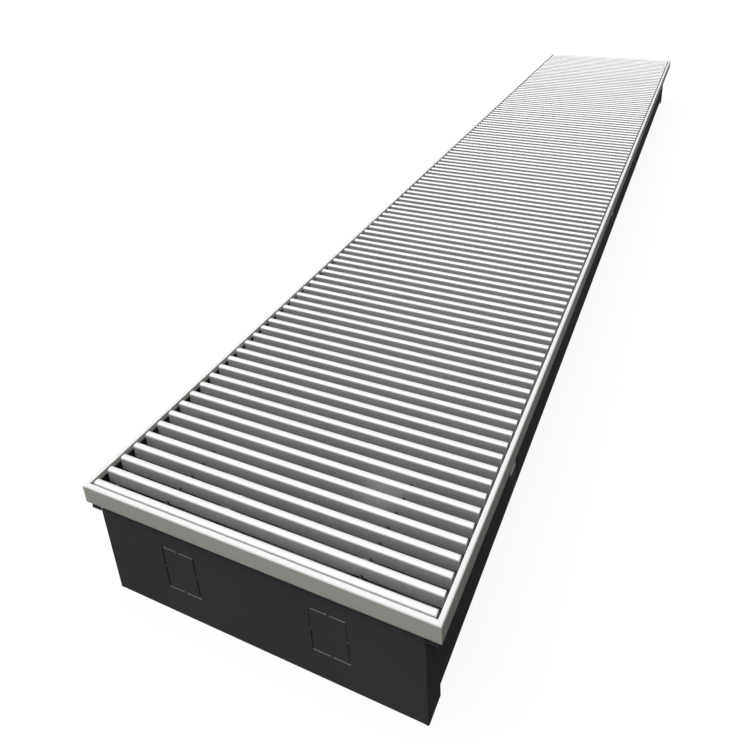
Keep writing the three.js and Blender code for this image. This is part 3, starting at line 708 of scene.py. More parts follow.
def strip_shape(low, high, sign):
    """The strip's outline from the rail inwards, sign +1 for the right side."""
    outer, inner = (high.x, low.x) if sign > 0 else (-low.x, -high.x)
    foot_top = low.z + strip_foot
    lip = rounded([
        (inner, low.z, 0), (outer, low.z, 0), (outer, high.z, 0.35 * MM),
        (outer - strip_lip, high.z, 0.35 * MM), (outer - strip_lip, foot_top, 0),
    ], steps=4)
    rib = (outer - strip_lip - inner) / strip_ribs
    for number in range(strip_ribs):
        middle = outer - strip_lip - rib * (number + 0.5)
        for step in range(7):
            angle = math.pi * step / 6
            lip.append(Vector((
                middle + rib / 2 * math.cos(angle) * 0.98,
                foot_top - rib_rise + rib_rise * math.sin(angle),
            )))
    return extruded([Vector((sign * point.x, point.y)) for point in lip], "y", low.y, high.y)


for side, sign in (("left", -1), ("right", 1)):
    node = "damping_strip_" + side
    strip = raw("rubber_strip_" + side, strip_shape(*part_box(node), sign))
    dress(strip, black_rubber, stands_for=[node])

# %% [markdown]
# ## The trough
#
# One steel sheet, folded up along both sides and out into a flange with a turned-down hem that the
# frame sits on. It is drawn as a folded outline and pushed along the heater. At both ends everything but
# the flanges is notched back, so that the end panel fits between them, and each flange is closed by a
# small lip, which shows as a dark edge under the frame's corners. Then the windows for the
# levelling feet and the holes for their screws are punched. The punch is a rounded block that reaches
# right across, so one cut opens both walls.

# %% Trough
trough_low, trough_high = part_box("trough")
sheet = 1 * MM
sheet_bend = 1.5 * MM
wall_outer = half_width - 13 * MM
hem_drop = 4 * MM
notch_half = wall_outer + sheet_bend
notch_depth = sheet_bend + sheet / 2 + seat_gap
foot_rows = [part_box(f"foot_pad_right_{row}") for row in (1, 2, 3)]
foot_places = [((low.y + high.y) / 2) for low, high in foot_rows]
foot_out = (foot_rows[0][0].x + foot_rows[0][1].x) / 2
window_low, window_high = 8 * MM, 40 * MM
window_half = 12 * MM

half_section = [
    (wall_outer - sheet / 2, trough_low.z + sheet / 2),
    (wall_outer - sheet / 2, trough_high.z - sheet / 2),
    (trough_high.x - sheet / 2, trough_high.z - sheet / 2),
    (trough_high.x - sheet / 2, trough_high.z - sheet / 2 - hem_drop),
]
trough_outline = folded([(-x, z) for x, z in half_section[::-1]] + half_section, sheet, sheet_bend)
trough = raw("trough_sheet", extruded(trough_outline, "y", trough_low.y, trough_high.y))
window_outline = rounded([
    (-window_half, window_low, 2 * MM),
    (window_half, window_low, 2 * MM),
    (window_half, window_high, 2 * MM),
    (-window_half, window_high, 2 * MM),
])
window_punch = extruded(window_outline, "x", -half_width, half_width)
screw_punch = extruded(circle(4.4 * MM), "z", 0, 15 * MM)
windows = merged(*[placed(window_punch, (0, y, 0)) for y in foot_places])
screw_holes = merged(*[
    placed(screw_punch, (sign * foot_out, y, 0)) for y in foot_places for sign in (-1, 1)
])
end_notches = merged(*[
    block((-notch_half, min(y, y + reach), -sheet), (notch_half, max(y, y + reach), frame_top))
    for y, reach in (
        (trough_low.y + notch_depth, -2 * notch_depth), (trough_high.y - notch_depth, 2 * notch_depth),
    )
])
carve(trough, [end_notches, windows, screw_holes])
lip_inset = 0.05 * MM
lip_low = trough_high.z - sheet - hem_drop + 0.7 * MM
lip_reach = sorted((notch_half + lip_inset, trough_high.x - 0.6 * MM))
lips = []
for end in (-1, 1):
    outer_y = end * (trough_high.y - lip_inset)
    span = sorted((outer_y, outer_y - end * sheet))
    for sign in (-1, 1):
        reach = sorted(sign * x for x in lip_reach)
        lips.append(block((reach[0], span[0], lip_low), (reach[1], span[1], trough_high.z - 0.6 * MM)))
carve(trough, lips, "UNION")
dress(trough, powder_coat, stands_for=["trough"])
print("trough faces:", len(trough.data.polygons))

# %% [markdown]
# ## The end panels
#
# Each end is closed by a panel with a foot flange on the floor, a seat flange under the frame, and a
# return round each wall of the trough. The middle part and the two returns are folded outlines in
# different planes that meet edge to edge, so a Boolean union joins them cleanly: where two solids share
# a volume and a face at once, it often leaves open seams. The top corners are notched, because a sheet
# can't be folded two ways at once. Two knock-outs for the pipes are slit by four angled punches each,
# with a small bridge in the middle of each side that a screwdriver breaks, and the upward edge of every
# level slit is eased by a wedge, which catches the light.

# %% End panels
panel_low, panel_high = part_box("end_panel_front")
panel_face = -panel_low.y
panel_return = 22 * MM
panel_seat = 9 * MM
panel_foot = 20 * MM
panel_bend = 0.7 * MM
return_bend = 0.9 * MM
return_top = trough_high.z - sheet - sheet_bend - seat_gap
supply_low, supply_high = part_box("supply_valve_body")
pipe_out = (supply_low.x + supply_high.x) / 2
pipe_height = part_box("hairpin_supply")[0].z / 2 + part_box("hairpin_supply")[1].z / 2
slit = 1.5 * MM
slit_ease = 0.45 * MM
bridge = 1.3 * MM
tab_half_width, tab_half_height = 15.5 * MM, 22 * MM

side = panel_high.x - sheet / 2
middle_half = wall_outer - sheet - seat_gap
middle_path = [
    (panel_foot, sheet / 2),
    (sheet / 2, sheet / 2),
    (sheet / 2, trough_high.z - sheet / 2),
    (panel_seat, trough_high.z - sheet / 2),
]
middle_part = extruded(folded(middle_path, sheet, panel_bend), "x", -middle_half, middle_half)
return_path = [(middle_half, sheet / 2), (side, sheet / 2), (side, panel_return)]
return_outline = folded(return_path, sheet, return_bend, steps=9)
return_base = 0.4 * MM
right_return = extruded(return_outline, "z", return_base, return_top)
mirrored_outline = [Vector((-point.x, point.y)) for point in return_outline]
left_return = extruded(mirrored_outline, "z", return_base, return_top)


def slit_shapes(x):
    """Four angled punches round a knock-out, with a bridge between each two."""
    corner = [
        (bridge / 2, tab_half_height), (tab_half_width, tab_half_height), (tab_half_width, bridge / 2),
        (tab_half_width - slit, bridge / 2), (tab_half_width - slit, tab_half_height - slit),
        (bridge / 2, tab_half_height - slit),
    ]
    return [
        extruded([Vector((x + sx * u, pipe_height + sz * v)) for u, v in corner], "y", -3 * sheet, 3 * sheet)
        for sx in (-1, 1) for sz in (-1, 1)
    ]


def slit_wedges(x):
    """Wedges that ease the upward edges of the level slits."""
    clear = 0.2 * MM
    wedges = []
    for height in (pipe_height + tab_half_height - slit, pipe_height - tab_half_height):
        outline = [
            Vector((-sheet, height - slit_ease - sheet)),
            Vector((slit_ease + clear, height + clear)),
            Vector((-sheet, height + clear)),
        ]
        for sign in (-1, 1):
            span = sorted(x + sign * reach for reach in (bridge / 2 + clear, tab_half_width - clear))
            wedges.append(extruded(outline, "x", *span))
    return wedges


panel_sheet = raw("panel_sheet", middle_part)
carve(panel_sheet, [right_return, left_return], "UNION")
for x in (pipe_out, -pipe_out):
    carve(panel_sheet, slit_shapes(x) + slit_wedges(x))
for end, turn in (("front", 0.0), ("rear", math.pi)):
    panel = panel_sheet.copy()
    panel.data = panel_sheet.data.copy()
    panel.name = "panel_" + end
    scene.collection.objects.link(panel)
    panel.data.transform(Matrix.Rotation(turn, 4, "Z") @ Matrix.Translation((0, -panel_face, 0)))
    dress(panel, powder_coat, stands_for=["end_panel_" + end])
bpy.data.objects.remove(panel_sheet)
print("panel faces:", len(panel.data.polygons))

# %% [markdown]
# ## The exchanger
#
# Thin fins are pressed on four copper tubes. Each fin has a drawn collar round each tube, and the
# collars set the pitch of about 5 mm. A fin is built from one square cell for each tube: spokes
# from the collar out to the cell's edge, so the sheet is all quads with no crack between the cells. The
# Array modifier then lays out the whole pack.

# %% Fin pack
pack_low, pack_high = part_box("fin_pack")
tube_radius = 7.5 * MM
fin_thickness = 0.3 * MM
fin_pitch = 5 * MM
tube_count = 4
tube_pitch = 2 * pipe_out / (tube_count - 1)
tube_places = [-pipe_out + i * tube_pitch for i in range(tube_count)]
cell_half = pack_high.x - pipe_out
cell_rise = (pack_high.z - pack_low.z) / 2
collar_inner, collar_outer = tube_radius + 0.05 * MM, tube_radius + 0.4 * MM
spokes = 24


def cell_edge(angle):
    """Where a spoke meets the edge of its cell."""
    reach = min(cell_half / max(abs(math.cos(angle)), 1e-9), cell_rise / max(abs(math.sin(angle)), 1e-9))
    return Vector((reach * math.cos(angle), reach * math.sin(angle)))


def fin_shape():
    edge_points = [cell_edge(2 * math.pi * i / spokes) for i in range(spokes)]
    for sx in (-1, 1):
        for sz in (-1, 1):
            corner = Vector((sx * cell_half, sz * cell_rise))
            nearest = min(range(spokes), key=lambda i: (edge_points[i] - corner).length)
            edge_points[nearest] = corner
    shapes = []
    for x in tube_places:
        def ring(radius, y):
            spots = [2 * math.pi * i / spokes for i in range(spokes)]
            return [Vector((x + radius * math.cos(a), y, pipe_height + radius * math.sin(a))) for a in spots]

        def edge(y):
            return [Vector((x + point.x, y, pipe_height + point.y)) for point in edge_points]

        shapes.append(loft([
            edge(0), ring(collar_outer + 0.8 * MM, 0), ring(collar_outer, 0.8 * MM),
            ring(collar_outer, fin_pitch - fin_thickness), ring(collar_inner, fin_pitch - fin_thickness),
            ring(collar_inner, -fin_thickness), edge(-fin_thickness),
        ], looped=True))
    strips = []
    for left, right in zip(tube_places, tube_places[1:]):
        rises = sorted({round(p.y, 9) for p in edge_points if abs(p.x - cell_half) < 1e-9})
        near, far = left + cell_half, right - cell_half
        for y in (0, -fin_thickness):
            for low, high in zip(rises, rises[1:]):
                strips.append([(near, y, low), (far, y, low), (far, y, high), (near, y, high)])
        for z in (rises[0], rises[-1]):
            strips.append([(near, 0, z), (far, 0, z), (far, -fin_thickness, z), (near, -fin_thickness, z)])
    vertices, faces = merged(*shapes)
    inner_walls = {round(x + sign * cell_half, 6) for x in tube_places for sign in (-1, 1)}
    inner_walls -= {round(pack_low.x, 6), round(pack_high.x, 6)}
    faces = [
        polygon for polygon in faces
        if not (
            len({round(vertices[i].x, 6) for i in polygon}) == 1
            and round(vertices[polygon[0]].x, 6) in inner_walls
        )
    ]
    for strip in strips:
        faces.append(tuple(range(len(vertices), len(vertices) + 4)))
        vertices += [Vector((x, y, z + pipe_height)) for x, y, z in strip]
    return vertices, faces


fin_count = int((pack_high.y - pack_low.y) / fin_pitch)
one_fin = raw("fin_stack", placed(fin_shape(), (0, pack_low.y + fin_thickness, 0)))
weld = bmesh.new()
weld.from_mesh(one_fin.data)
bmesh.ops.remove_doubles(weld, verts=weld.verts, dist=0.002 * MM)
bmesh.ops.recalc_face_normals(weld, faces=weld.faces)
open_edges = sum(1 for e in weld.edges if not e.is_manifold)
weld.to_mesh(one_fin.data)
weld.free()
dress(repeat(one_fin, fin_count, (0, fin_pitch, 0)), fin_sheet, stands_for=["fin_pack"])
print("fins:", fin_count, "open edges in one:", open_edges)

# %% [markdown]
# The water goes up one outer tube, round a bend at the far end, and back. Each outer and inner pair is
# one hairpin, bent from a single tube, and a short bend is brazed on to join the two. `pipe_shape` sweeps
# a ring of points along a level path and gives the tube its real bore.

# %% Tubes
def pipe_shape(path, radii, bores, segments=24):
    """A tube along level points (x, y), with a radius and a bore at each."""
    outside, inside = [], []
    for i, point in enumerate(path):
        ahead = path[min(i + 1, len(path) - 1)] - path[max(i - 1, 0)]
        side_way = Vector((ahead.y, -ahead.x)).normalized()
        for rings, radius in ((outside, radii[i]), (inside, bores[i])):
            rings.append([
                Vector((
                    point.x + side_way.x * radius * math.cos(a),
                    point.y + side_way.y * radius * math.cos(a),
                    pipe_height + radius * math.sin(a),
                ))
                for a in (2 * math.pi * k / segments for k in range(segments))
            ])
    return loft(outside + inside[::-1], looped=True)


def half_turn(start_x, end_x, y, direction, steps=20):
    radius = abs(end_x - start_x) / 2
    middle = (start_x + end_x) / 2
    return [
        Vector((middle + (start_x - middle) * math.cos(a), y + direction * radius * math.sin(a)))
        for a in (math.pi * i / steps for i in range(steps + 1))
    ]


tube_wall = 1 * MM
bend_leg = 9 * MM
inner_out = pipe_out - tube_pitch
hairpin_low, hairpin_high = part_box("hairpin_supply")
turn_start = hairpin_high.y - tube_radius - tube_pitch / 2
for side_name, sign in (("supply", 1), ("return", -1)):
    start = Vector((sign * pipe_out, hairpin_low.y))
    end = Vector((sign * inner_out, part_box("return_bend")[1].y - bend_leg))
    path = [start, *half_turn(start.x, end.x, turn_start, 1), end]
    shape = pipe_shape(path, [tube_radius] * len(path), [tube_radius - tube_wall] * len(path))
    tube = raw("tube_" + side_name, shape)
    dress(tube, drawn_copper, stands_for=["hairpin_" + side_name])

bend_low, bend_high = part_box("return_bend")
bend_start = bend_high.y - bend_leg
socket_outer, socket_bore = tube_radius + 1.3 * MM, tube_radius + 0.05 * MM
leg_steps = [(bend_high.y, 1), (bend_start + 0.5 * MM, 1), (bend_start - 1.2 * MM, 0)]


def leg(x):
    return [(Vector((x, y)), wide) for y, wide in leg_steps]


turn = [(point, 0) for point in half_turn(inner_out, -inner_out, bend_start - 2 * MM, -1)]
stations = leg(inner_out) + turn + leg(-inner_out)[::-1]
bend = raw("brazed_bend", pipe_shape(
    [point for point, _ in stations],
    [socket_outer if wide else tube_radius + 0.2 * MM for _, wide in stations],
    [socket_bore if wide else tube_radius - tube_wall for _, wide in stations],
))
dress(bend, drawn_copper, stands_for=["return_bend"])
print("bend from", [round(v, 4) for v in bend_low], "to", [round(v, 4) for v in bend_high])

# %% [markdown]
# ## Plates, saddle and braces
#
# The exchanger stands on two end plates and a hat-shaped saddle, and two channels across the trough
# keep its walls apart. All are bent from zinc-plated sheet, so they come from `folded` again, with their
# holes punched. Small pan-head screws hold their feet to the trough's floor.

# %% Sheet supports
def screw_head(radius=3.2 * MM, rise=2.0 * MM):
    """A domed head with a cross recess, standing on z = 0."""
    dome = [(0, 0), (radius, 0), (radius, rise * 0.35)]
    dome += [
        (radius * math.cos(a), rise * (0.35 + 0.65 * math.sin(a)))
        for a in (math.pi / 2 * i / 6 for i in range(1, 6))
    ]
    dome.append((0, rise))
    return revolved(dome, 32)


def cross_recess(radius=3.2 * MM, rise=2.0 * MM):
    half, reach, depth = 0.4 * MM, radius * 0.62, rise * 0.45
    bars = [block((-reach, -half, rise - depth), (reach, half, rise + depth)),
            block((-half, -reach, rise - depth), (half, reach, rise + depth))]
    return bars


head_master = carve(raw("screw_head_master", screw_head()), cross_recess())


def place_screws(name, body, spots):
    """A group of screw heads, each at (place, rotation about X, rotation about Y)."""
    group = bmesh.new()
    for place, about_x, about_y in spots:
        copy = head_master.data.copy()
        copy.transform(
            Matrix.Translation(place) @ Matrix.Rotation(about_y, 4, "Y") @ Matrix.Rotation(about_x, 4, "X")
        )
        group.from_mesh(copy)
        bpy.data.meshes.remove(copy)
    mesh = bpy.data.meshes.new(name)
    group.to_mesh(mesh)
    group.free()
    screws = bpy.data.objects.new(name, mesh)
    scene.collection.objects.link(screws)
    return dress(screws, zinc_plate, body)


plate_thickness = 1.2 * MM
plate_bend = 2 * MM
tube_punches = merged(*[
    extruded(circle(tube_radius + 0.3 * MM, middle=(x, pipe_height)), "y", -1, 1) for x in tube_places
])
for end, direction in (("front", -1), ("rear", 1)):
    low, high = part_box("exchanger_plate_" + end)
    back = high.y if direction < 0 else low.y
    tip = low.y if direction < 0 else high.y
    path = [
        (tip, low.z + plate_thickness / 2),
        (back - direction * -plate_thickness / 2, low.z + plate_thickness / 2),
        (back - direction * -plate_thickness / 2, high.z),
    ]
    plate = raw("tube_plate_" + end, extruded(folded(path, plate_thickness, plate_bend), "x", low.x, high.x))
    carve(plate, [tube_punches])
    dress(plate, zinc_plate, stands_for=["exchanger_plate_" + end])
    foot_middle = (tip + back) / 2 + direction * 2 * MM
    spots = [((x, foot_middle, low.z + plate_thickness), 0, 0) for x in (-60 * MM, 60 * MM)]
    place_screws("plate_screws_" + end, "casing", spots)

saddle_low, saddle_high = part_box("exchanger_saddle")
saddle_half, crown_half = (saddle_high.y - saddle_low.y) / 2, 15 * MM
saddle_middle = (saddle_high.y + saddle_low.y) / 2
saddle_foot, saddle_crown = saddle_low.z + plate_thickness / 2, saddle_high.z - plate_thickness / 2
saddle_path = [
    (saddle_middle + y, z)
    for y, z in [
        (-saddle_half, saddle_foot), (-crown_half, saddle_foot), (-crown_half, saddle_crown),
        (crown_half, saddle_crown), (crown_half, saddle_foot), (saddle_half, saddle_foot),
    ]
]
saddle = raw("fin_saddle", extruded(folded(saddle_path, plate_thickness, plate_bend), "x",
                                    saddle_low.x, saddle_high.x))
dress(saddle, zinc_plate, stands_for=["exchanger_saddle"])
place_screws("saddle_screws", "casing", [
    ((x, saddle_middle + sign * (saddle_half - 7 * MM), saddle_low.z + plate_thickness), 0, 0)
    for x in (-55 * MM, 55 * MM) for sign in (-1, 1)
])

for number in (1, 2):
    low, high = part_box(f"cross_brace_{number}")
    middle = (low.y + high.y) / 2
    half = (high.y - low.y) / 2 - sheet / 2
    top = high.z - sheet / 2
    skirt = high.z - 9 * MM
    channel = folded([(middle - half, skirt), (middle - half, top), (middle + half, top),
                      (middle + half, skirt)], sheet, sheet_bend)
    brace = raw(f"brace_{number}", extruded(channel, "x", low.x, high.x))
    tabs = []
    for x_low in (low.x, high.x - sheet):
        outline = rounded([
            (middle - half, low.z, 2 * MM), (middle + half, low.z, 2 * MM),
            (middle + half, top, 0), (middle - half, top, 0),
        ])
        tabs.append(extruded(outline, "x", x_low, x_low + sheet))
    carve(brace, tabs, "UNION")
    dress(brace, zinc_plate, stands_for=[f"cross_brace_{number}"])
bpy.data.objects.remove(head_master)
print("supports made")

# %% [markdown]
# ## Valves
#
# The supply valve has a white hand cap and the return valve a smaller lockshield cap. Their bodies are
# turned brass: a threaded end towards the pipe, a swelling over the seat with a hexagon under the stem,
# and a socket with a union nut towards the exchanger. Threads are real ridges: the radius of each point
# goes up and down with its height and its angle together, which winds them into one helix.

# %% Valve helpers
def threaded(radius, low, high, pitch, depth, bore=0.0, segments=24, steps=6):
    """A rod along Z with a helical thread."""
    rows = max(2, round((high - low) / pitch * steps))
    rings = []
    for row in range(rows + 1):
        height = low + (high - low) * row / rows
        fade = min(1.0, (height - low) / pitch, (high - height) / pitch)
        ring = []
        for i in range(segments):
            phase = (height / pitch - i / segments) % 1
            ridge = 1 - abs(2 * phase - 1)
            reach = radius - depth * (1 - ridge * fade)
            angle = 2 * math.pi * i / segments
            ring.append(Vector((reach * math.cos(angle), reach * math.sin(angle), height)))
        rings.append(ring)
    if not bore:
        return loft(rings)
    angles = [2 * math.pi * i / segments for i in range(segments)]
    inner = [
        [Vector((bore * math.cos(a), bore * math.sin(a), height)) for a in angles] for height in (high, low)
    ]
    return loft(rings + inner, looped=True)


def hexagon(flats, low, high, bore=0.0, chamfer=1.0 * MM, segments=48):
    """A hexagonal nut along Z whose corners are turned off at both faces."""
    def reach(angle):
        sixth = (angle + math.pi / 6) % (math.pi / 3) - math.pi / 6
        return flats / 2 / math.cos(sixth)

    angles = [2 * math.pi * (i + 0.5) / segments for i in range(segments)]
    rows = []
    for height, cap in ((low, flats / 2), (low + chamfer, flats), (high - chamfer, flats), (high, flats / 2)):
        rows.append([Vector((min(reach(a), cap) * math.cos(a), min(reach(a), cap) * math.sin(a), height))
                     for a in angles])
    if not bore:
        return loft(rows)
    inner = [[Vector((bore * math.cos(a), bore * math.sin(a), z)) for a in angles] for z in (high, low)]
    return loft(rows + inner, looped=True)


def fluted_cap(radius, bore, height, flutes, wall, depth):
    """A cap with a scalloped grip, a rounded crown and a shallow ring on top, its rim at z = 0."""
    segments = flutes * 12

    def ring(reach, z, scallop):
        points = []
        for i in range(segments):
            angle = 2 * math.pi * i / segments
            wave = max(0.0, math.cos(flutes * angle)) ** 2
            r = reach - scallop * wave
            points.append(Vector((r * math.cos(angle), r * math.sin(angle), z)))
        return points

    rings = [ring(bore, 0, 0), ring(radius - 0.5 * MM, 0, depth), ring(radius, 0.5 * MM, depth)]
    rings.append(ring(radius, height - 3 * MM, depth))
    for i in range(1, 7):
        angle = math.pi / 2 * i / 6
        rings.append(ring(radius - 2.6 * MM * (1 - math.cos(angle)), height - 3 * MM + 3 * MM * math.sin(angle),
                          depth * math.cos(angle)))
    groove = radius * 0.55
    for reach, z in ((groove + 0.8 * MM, height), (groove + 0.4 * MM, height - 0.4 * MM),
                     (groove - 0.4 * MM, height - 0.4 * MM), (groove - 0.8 * MM, height), (0.02 * MM, height)):
        rings.append(ring(reach, z, 0))
    roof = height - wall
    rings += [ring(0.02 * MM, roof, 0), ring(bore, roof, 0)]
    return loft(rings, looped=True)


print("valve helpers ready")

# %% [markdown]
# The valve body is a lathe profile laid along the pipe. The thread is a separate ring at the pipe end,
# and the bonnet stands up from the middle. They are one casting on the real valve, so they are joined
# into one piece.

# %% Valves
for name, sign in (("supply", 1), ("return", -1)):
    low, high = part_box(name + "_valve_body")
    x = sign * pipe_out
    start, end = low.y, high.y
    middle = (start + end) / 2
    bore_pipe, bore_tube = 7 * MM, tube_radius + 0.1 * MM
    neck, swell = 9.6 * MM, 12.6 * MM
    half = (end - start) / 2
    barrel = [(bore_pipe, -half + 15 * MM), (bore_pipe, -half + 0.4 * MM), (bore_pipe + 0.4 * MM, -half)]
    barrel += [(neck - 0.8 * MM, -half), (neck - 0.2 * MM, -half + 0.6 * MM)]
    barrel += [(neck - 0.2 * MM, -half + 14 * MM)]
    barrel += [(neck + 0.6 * MM, -half + 15 * MM), (neck + 0.6 * MM, -half + 18 * MM)]
    barrel += [
        (neck + (swell - neck) * (1 - math.cos(math.pi * i / 8)) / 2, -half + 18 * MM + i * 1.1 * MM)
        for i in range(1, 9)
    ]
    barrel += [
        (neck + 0.8 * MM + (swell - neck - 0.8 * MM) * (1 + math.cos(math.pi * i / 8)) / 2,
         half - 26 * MM + i * 1.1 * MM)
        for i in range(9)
    ]
    barrel += [(neck + 0.8 * MM, half - 1 * MM), (neck, half), (bore_tube, half), (bore_tube, half - 14 * MM),
               (4 * MM, half - 14 * MM), (4 * MM, -half + 15 * MM)]
    body = raw(name + "_valve", along_y(revolved(barrel, 40), (x, middle, pipe_height)))
    thread = threaded(
        10.3 * MM, -half + 0.5 * MM, -half + 14 * MM, 1.8 * MM, 0.9 * MM, bore=bore_pipe + 0.2 * MM
    )
    stem_low = 6 * MM
    collar_top = high.z - pipe_height
    if name == "supply":
        stem = [(0, stem_low), (9.6 * MM, stem_low), (9.6 * MM, 12.6 * MM), (13.8 * MM, 15 * MM),
                (14.1 * MM, 15.4 * MM), (14.1 * MM, collar_top - 0.6 * MM), (13.5 * MM, collar_top),
                (0, collar_top)]
    else:
        stem = [(0, stem_low), (8 * MM, stem_low), (8 * MM, collar_top - 0.6 * MM), (7.4 * MM, collar_top),
                (0, collar_top)]
    flats = hexagon(17 * MM, 8.5 * MM, 13 * MM) if name == "return" else hexagon(21 * MM, 9 * MM, 12.4 * MM)
    parts = [along_y(thread, (x, middle, pipe_height)),
             placed(revolved(stem, 40), (x, middle, pipe_height)),
             placed(flats, (x, middle, pipe_height))]
    carve(body, parts, "UNION")
    dress(body, nickel_plate, stands_for=[name + "_valve_body"])

    low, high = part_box(name + "_union_nut")
    nut = hexagon(24 * MM, 0, high.y - low.y, bore=tube_radius + 0.1 * MM, chamfer=1.4 * MM)
    nut_piece = raw(name + "_nut", along_y(nut, (x, low.y, pipe_height)))
    dress(nut_piece, nickel_plate, stands_for=[name + "_union_nut"])

    low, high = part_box(name + "_valve_cap")
    cap_radius = (high.x - low.x) / 2
    cap_bore = 14.5 * MM if name == "supply" else 8.3 * MM
    flutes = 12 if name == "supply" else 8
    cap = fluted_cap(cap_radius, cap_bore, high.z - low.z, flutes, 1.6 * MM, 1.0 * MM)
    cap_piece = raw(name + "_cap", placed(cap, (x, middle, low.z)))
    dress(cap_piece, cap_plastic, name + "_cap", [name + "_valve_cap"])
print("valves made")

# %% [markdown]
# Air collects at the top of the return bend, so a small vent stands there: a round body and a slotted
# screw with a knurled rim.

# %% Air vent
vent_low, vent_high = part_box("vent_body")
vent_place = Vector(((vent_low.x + vent_high.x) / 2, (vent_low.y + vent_high.y) / 2, 0))
vent_radius = (vent_high.x - vent_low.x) / 2
vent_base = vent_place + Vector((0, 0, vent_low.z))
vent = merged(
    placed(hexagon(9 * MM, 3.4 * MM, 7.5 * MM, bore=2.8 * MM, chamfer=0.5 * MM), vent_base),
    placed(revolved([
        (0, 0), (vent_radius - 1 * MM, 0), (vent_radius - 0.2 * MM, 0.8 * MM),
        (vent_radius - 0.2 * MM, 2.6 * MM),
        (3.6 * MM, 3.4 * MM), (3.6 * MM, 11.6 * MM), (3.2 * MM, vent_high.z - vent_low.z),
        (2.8 * MM, vent_high.z - vent_low.z), (2.8 * MM, 6 * MM), (0, 6 * MM),
    ], 32), vent_base),
)
dress(raw("vent_stub", vent), nickel_plate, stands_for=["vent_body"])

key_low, key_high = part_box("vent_screw")
key_base = vent_place + Vector((0, 0, key_low.z))
key_seat = vent_high.z + 0.3 * MM - key_low.z
key_top = key_high.z - key_low.z
knurl = []
knurl_teeth = 24
for z, reach, tooth in ((key_seat, 4.4 * MM, 0.0), (key_seat + 0.3 * MM, 4.9 * MM, 0.3 * MM),
                        (key_top - 0.4 * MM, 4.9 * MM, 0.3 * MM), (key_top, 4.4 * MM, 0.0)):
    knurl.append([
        Vector(((reach - tooth * (i % 2)) * math.cos(a), (reach - tooth * (i % 2)) * math.sin(a), z))
        for i, a in ((i, math.pi * i / knurl_teeth) for i in range(2 * knurl_teeth))
    ])
vent_key = raw("vent_key", placed(loft(knurl), key_base))
shank = placed(threaded(2.6 * MM, 0, key_seat + 0.5 * MM, 1 * MM, 0.4 * MM), key_base)
carve(vent_key, [shank], "UNION")
slot_cut = block((-6 * MM, -0.6 * MM, key_top - 1.2 * MM), (6 * MM, 0.6 * MM, key_top + 1 * MM))
carve(vent_key, [placed(slot_cut, key_base)])
dress(vent_key, nickel_plate, "vent_key", ["vent_screw"])

# %% [markdown]
# ## Levelling feet
#
# Behind each window in the wall an angle bracket holds a welded nut, and a hexagon-socket screw runs
# down through it to a rubber pad under the trough. The photograph shows only a bright spot there, so the
# foot's form is the usual one. One foot is drawn for the right wall, and a half turn gives the left one.

# %% Feet
bracket_thickness = 2 * MM
shelf_top = 29 * MM
for row in (1, 2, 3):
    for side_name, turn in (("right", 0.0), ("left", math.pi)):
        label = f"{side_name}_{row}"
        place_y = foot_places[row - 1]
        low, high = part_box(f"foot_bracket_right_{row}")
        path = [
            (high.x - bracket_thickness / 2, high.z),
            (high.x - bracket_thickness / 2, shelf_top - bracket_thickness / 2),
            (low.x, shelf_top - bracket_thickness / 2),
        ]
        half = (high.y - low.y) / 2
        angle_shape = extruded(folded(path, bracket_thickness, 2.4 * MM, steps=8), "y", -half, half)
        bracket = raw("bracket_" + label, angle_shape)
        carve(bracket, [extruded(circle(4.3 * MM, middle=(foot_out, 0)), "z", 0, 60 * MM)])
        weld_nut = hexagon(13 * MM, low.z, shelf_top - bracket_thickness - 0.02 * MM, bore=4.3 * MM)
        carve(bracket, [placed(weld_nut, (foot_out, 0, 0))], "UNION")
        move = Matrix.Rotation(turn, 4, "Z")
        move.translation = (0, place_y, 0)
        bracket.data.transform(move)
        dress(bracket, zinc_plate, stands_for=["foot_bracket_" + label])

        low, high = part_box(f"foot_screw_right_{row}")
        screw = raw("levelling_screw_" + label, placed(
            threaded(4 * MM, low.z, high.z, 1.25 * MM, 0.6 * MM), (foot_out, 0, 0)
        ))
        socket = hexagon(5 * MM, high.z - 4 * MM, high.z + 4 * MM, chamfer=0.1 * MM, segments=24)
        carve(screw, [placed(socket, (foot_out, 0, 0))])
        screw.data.transform(move)
        dress(screw, zinc_plate, "screw_" + label, ["foot_screw_" + label])

        low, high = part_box(f"foot_pad_right_{row}")
        pad_radius = (high.x - low.x) / 2
        pad_profile = [
            (0, 0), (pad_radius - 1.6 * MM, 0), (pad_radius - 0.5 * MM, 0.3 * MM), (pad_radius, 1.2 * MM),
            (pad_radius - 0.6 * MM, 1.9 * MM), (6.4 * MM, 3.6 * MM), (5.6 * MM, high.z), (4.3 * MM, high.z),
            (4.3 * MM, 1.5 * MM), (0, 1.5 * MM),
        ]
        pad = raw("rubber_pad_" + label, placed(revolved(pad_profile, 40), (foot_out, 0, 0)))
        pad.data.transform(move)
        dress(pad, black_rubber, "pad_" + label, ["foot_pad_" + label])
print("feet made:", len(foot_places) * 2)

# %% [markdown]
# ## Floor and light
#
# The floor is plain and white. To the camera most of its white is its own, and the rest is a matt coat
# that takes the heater's soft shadow. Reflections see it at 40 % (`reflected_share`), and to light that
# bounces it is almost black, so that the walls of the heater stay as dark as they are in the photograph.
# With a share of 1 metal shows the whole background, and the grazing sides come out paler. One very broad
# lamp hangs above, a little in front and to the left, and a faint sky fills the shadows.

# %% Floor, lamp and sky
floor_half = 30.0
floor_mesh = bpy.data.meshes.new("floor")
floor_mesh.from_pydata([
    (-floor_half, -floor_half, 0), (floor_half, -floor_half, 0), (floor_half, floor_half, 0),
    (-floor_half, floor_half, 0),
], [], [(0, 1, 2, 3)])
floor = bpy.data.objects.new("floor", floor_mesh)
scene.collection.objects.link(floor)

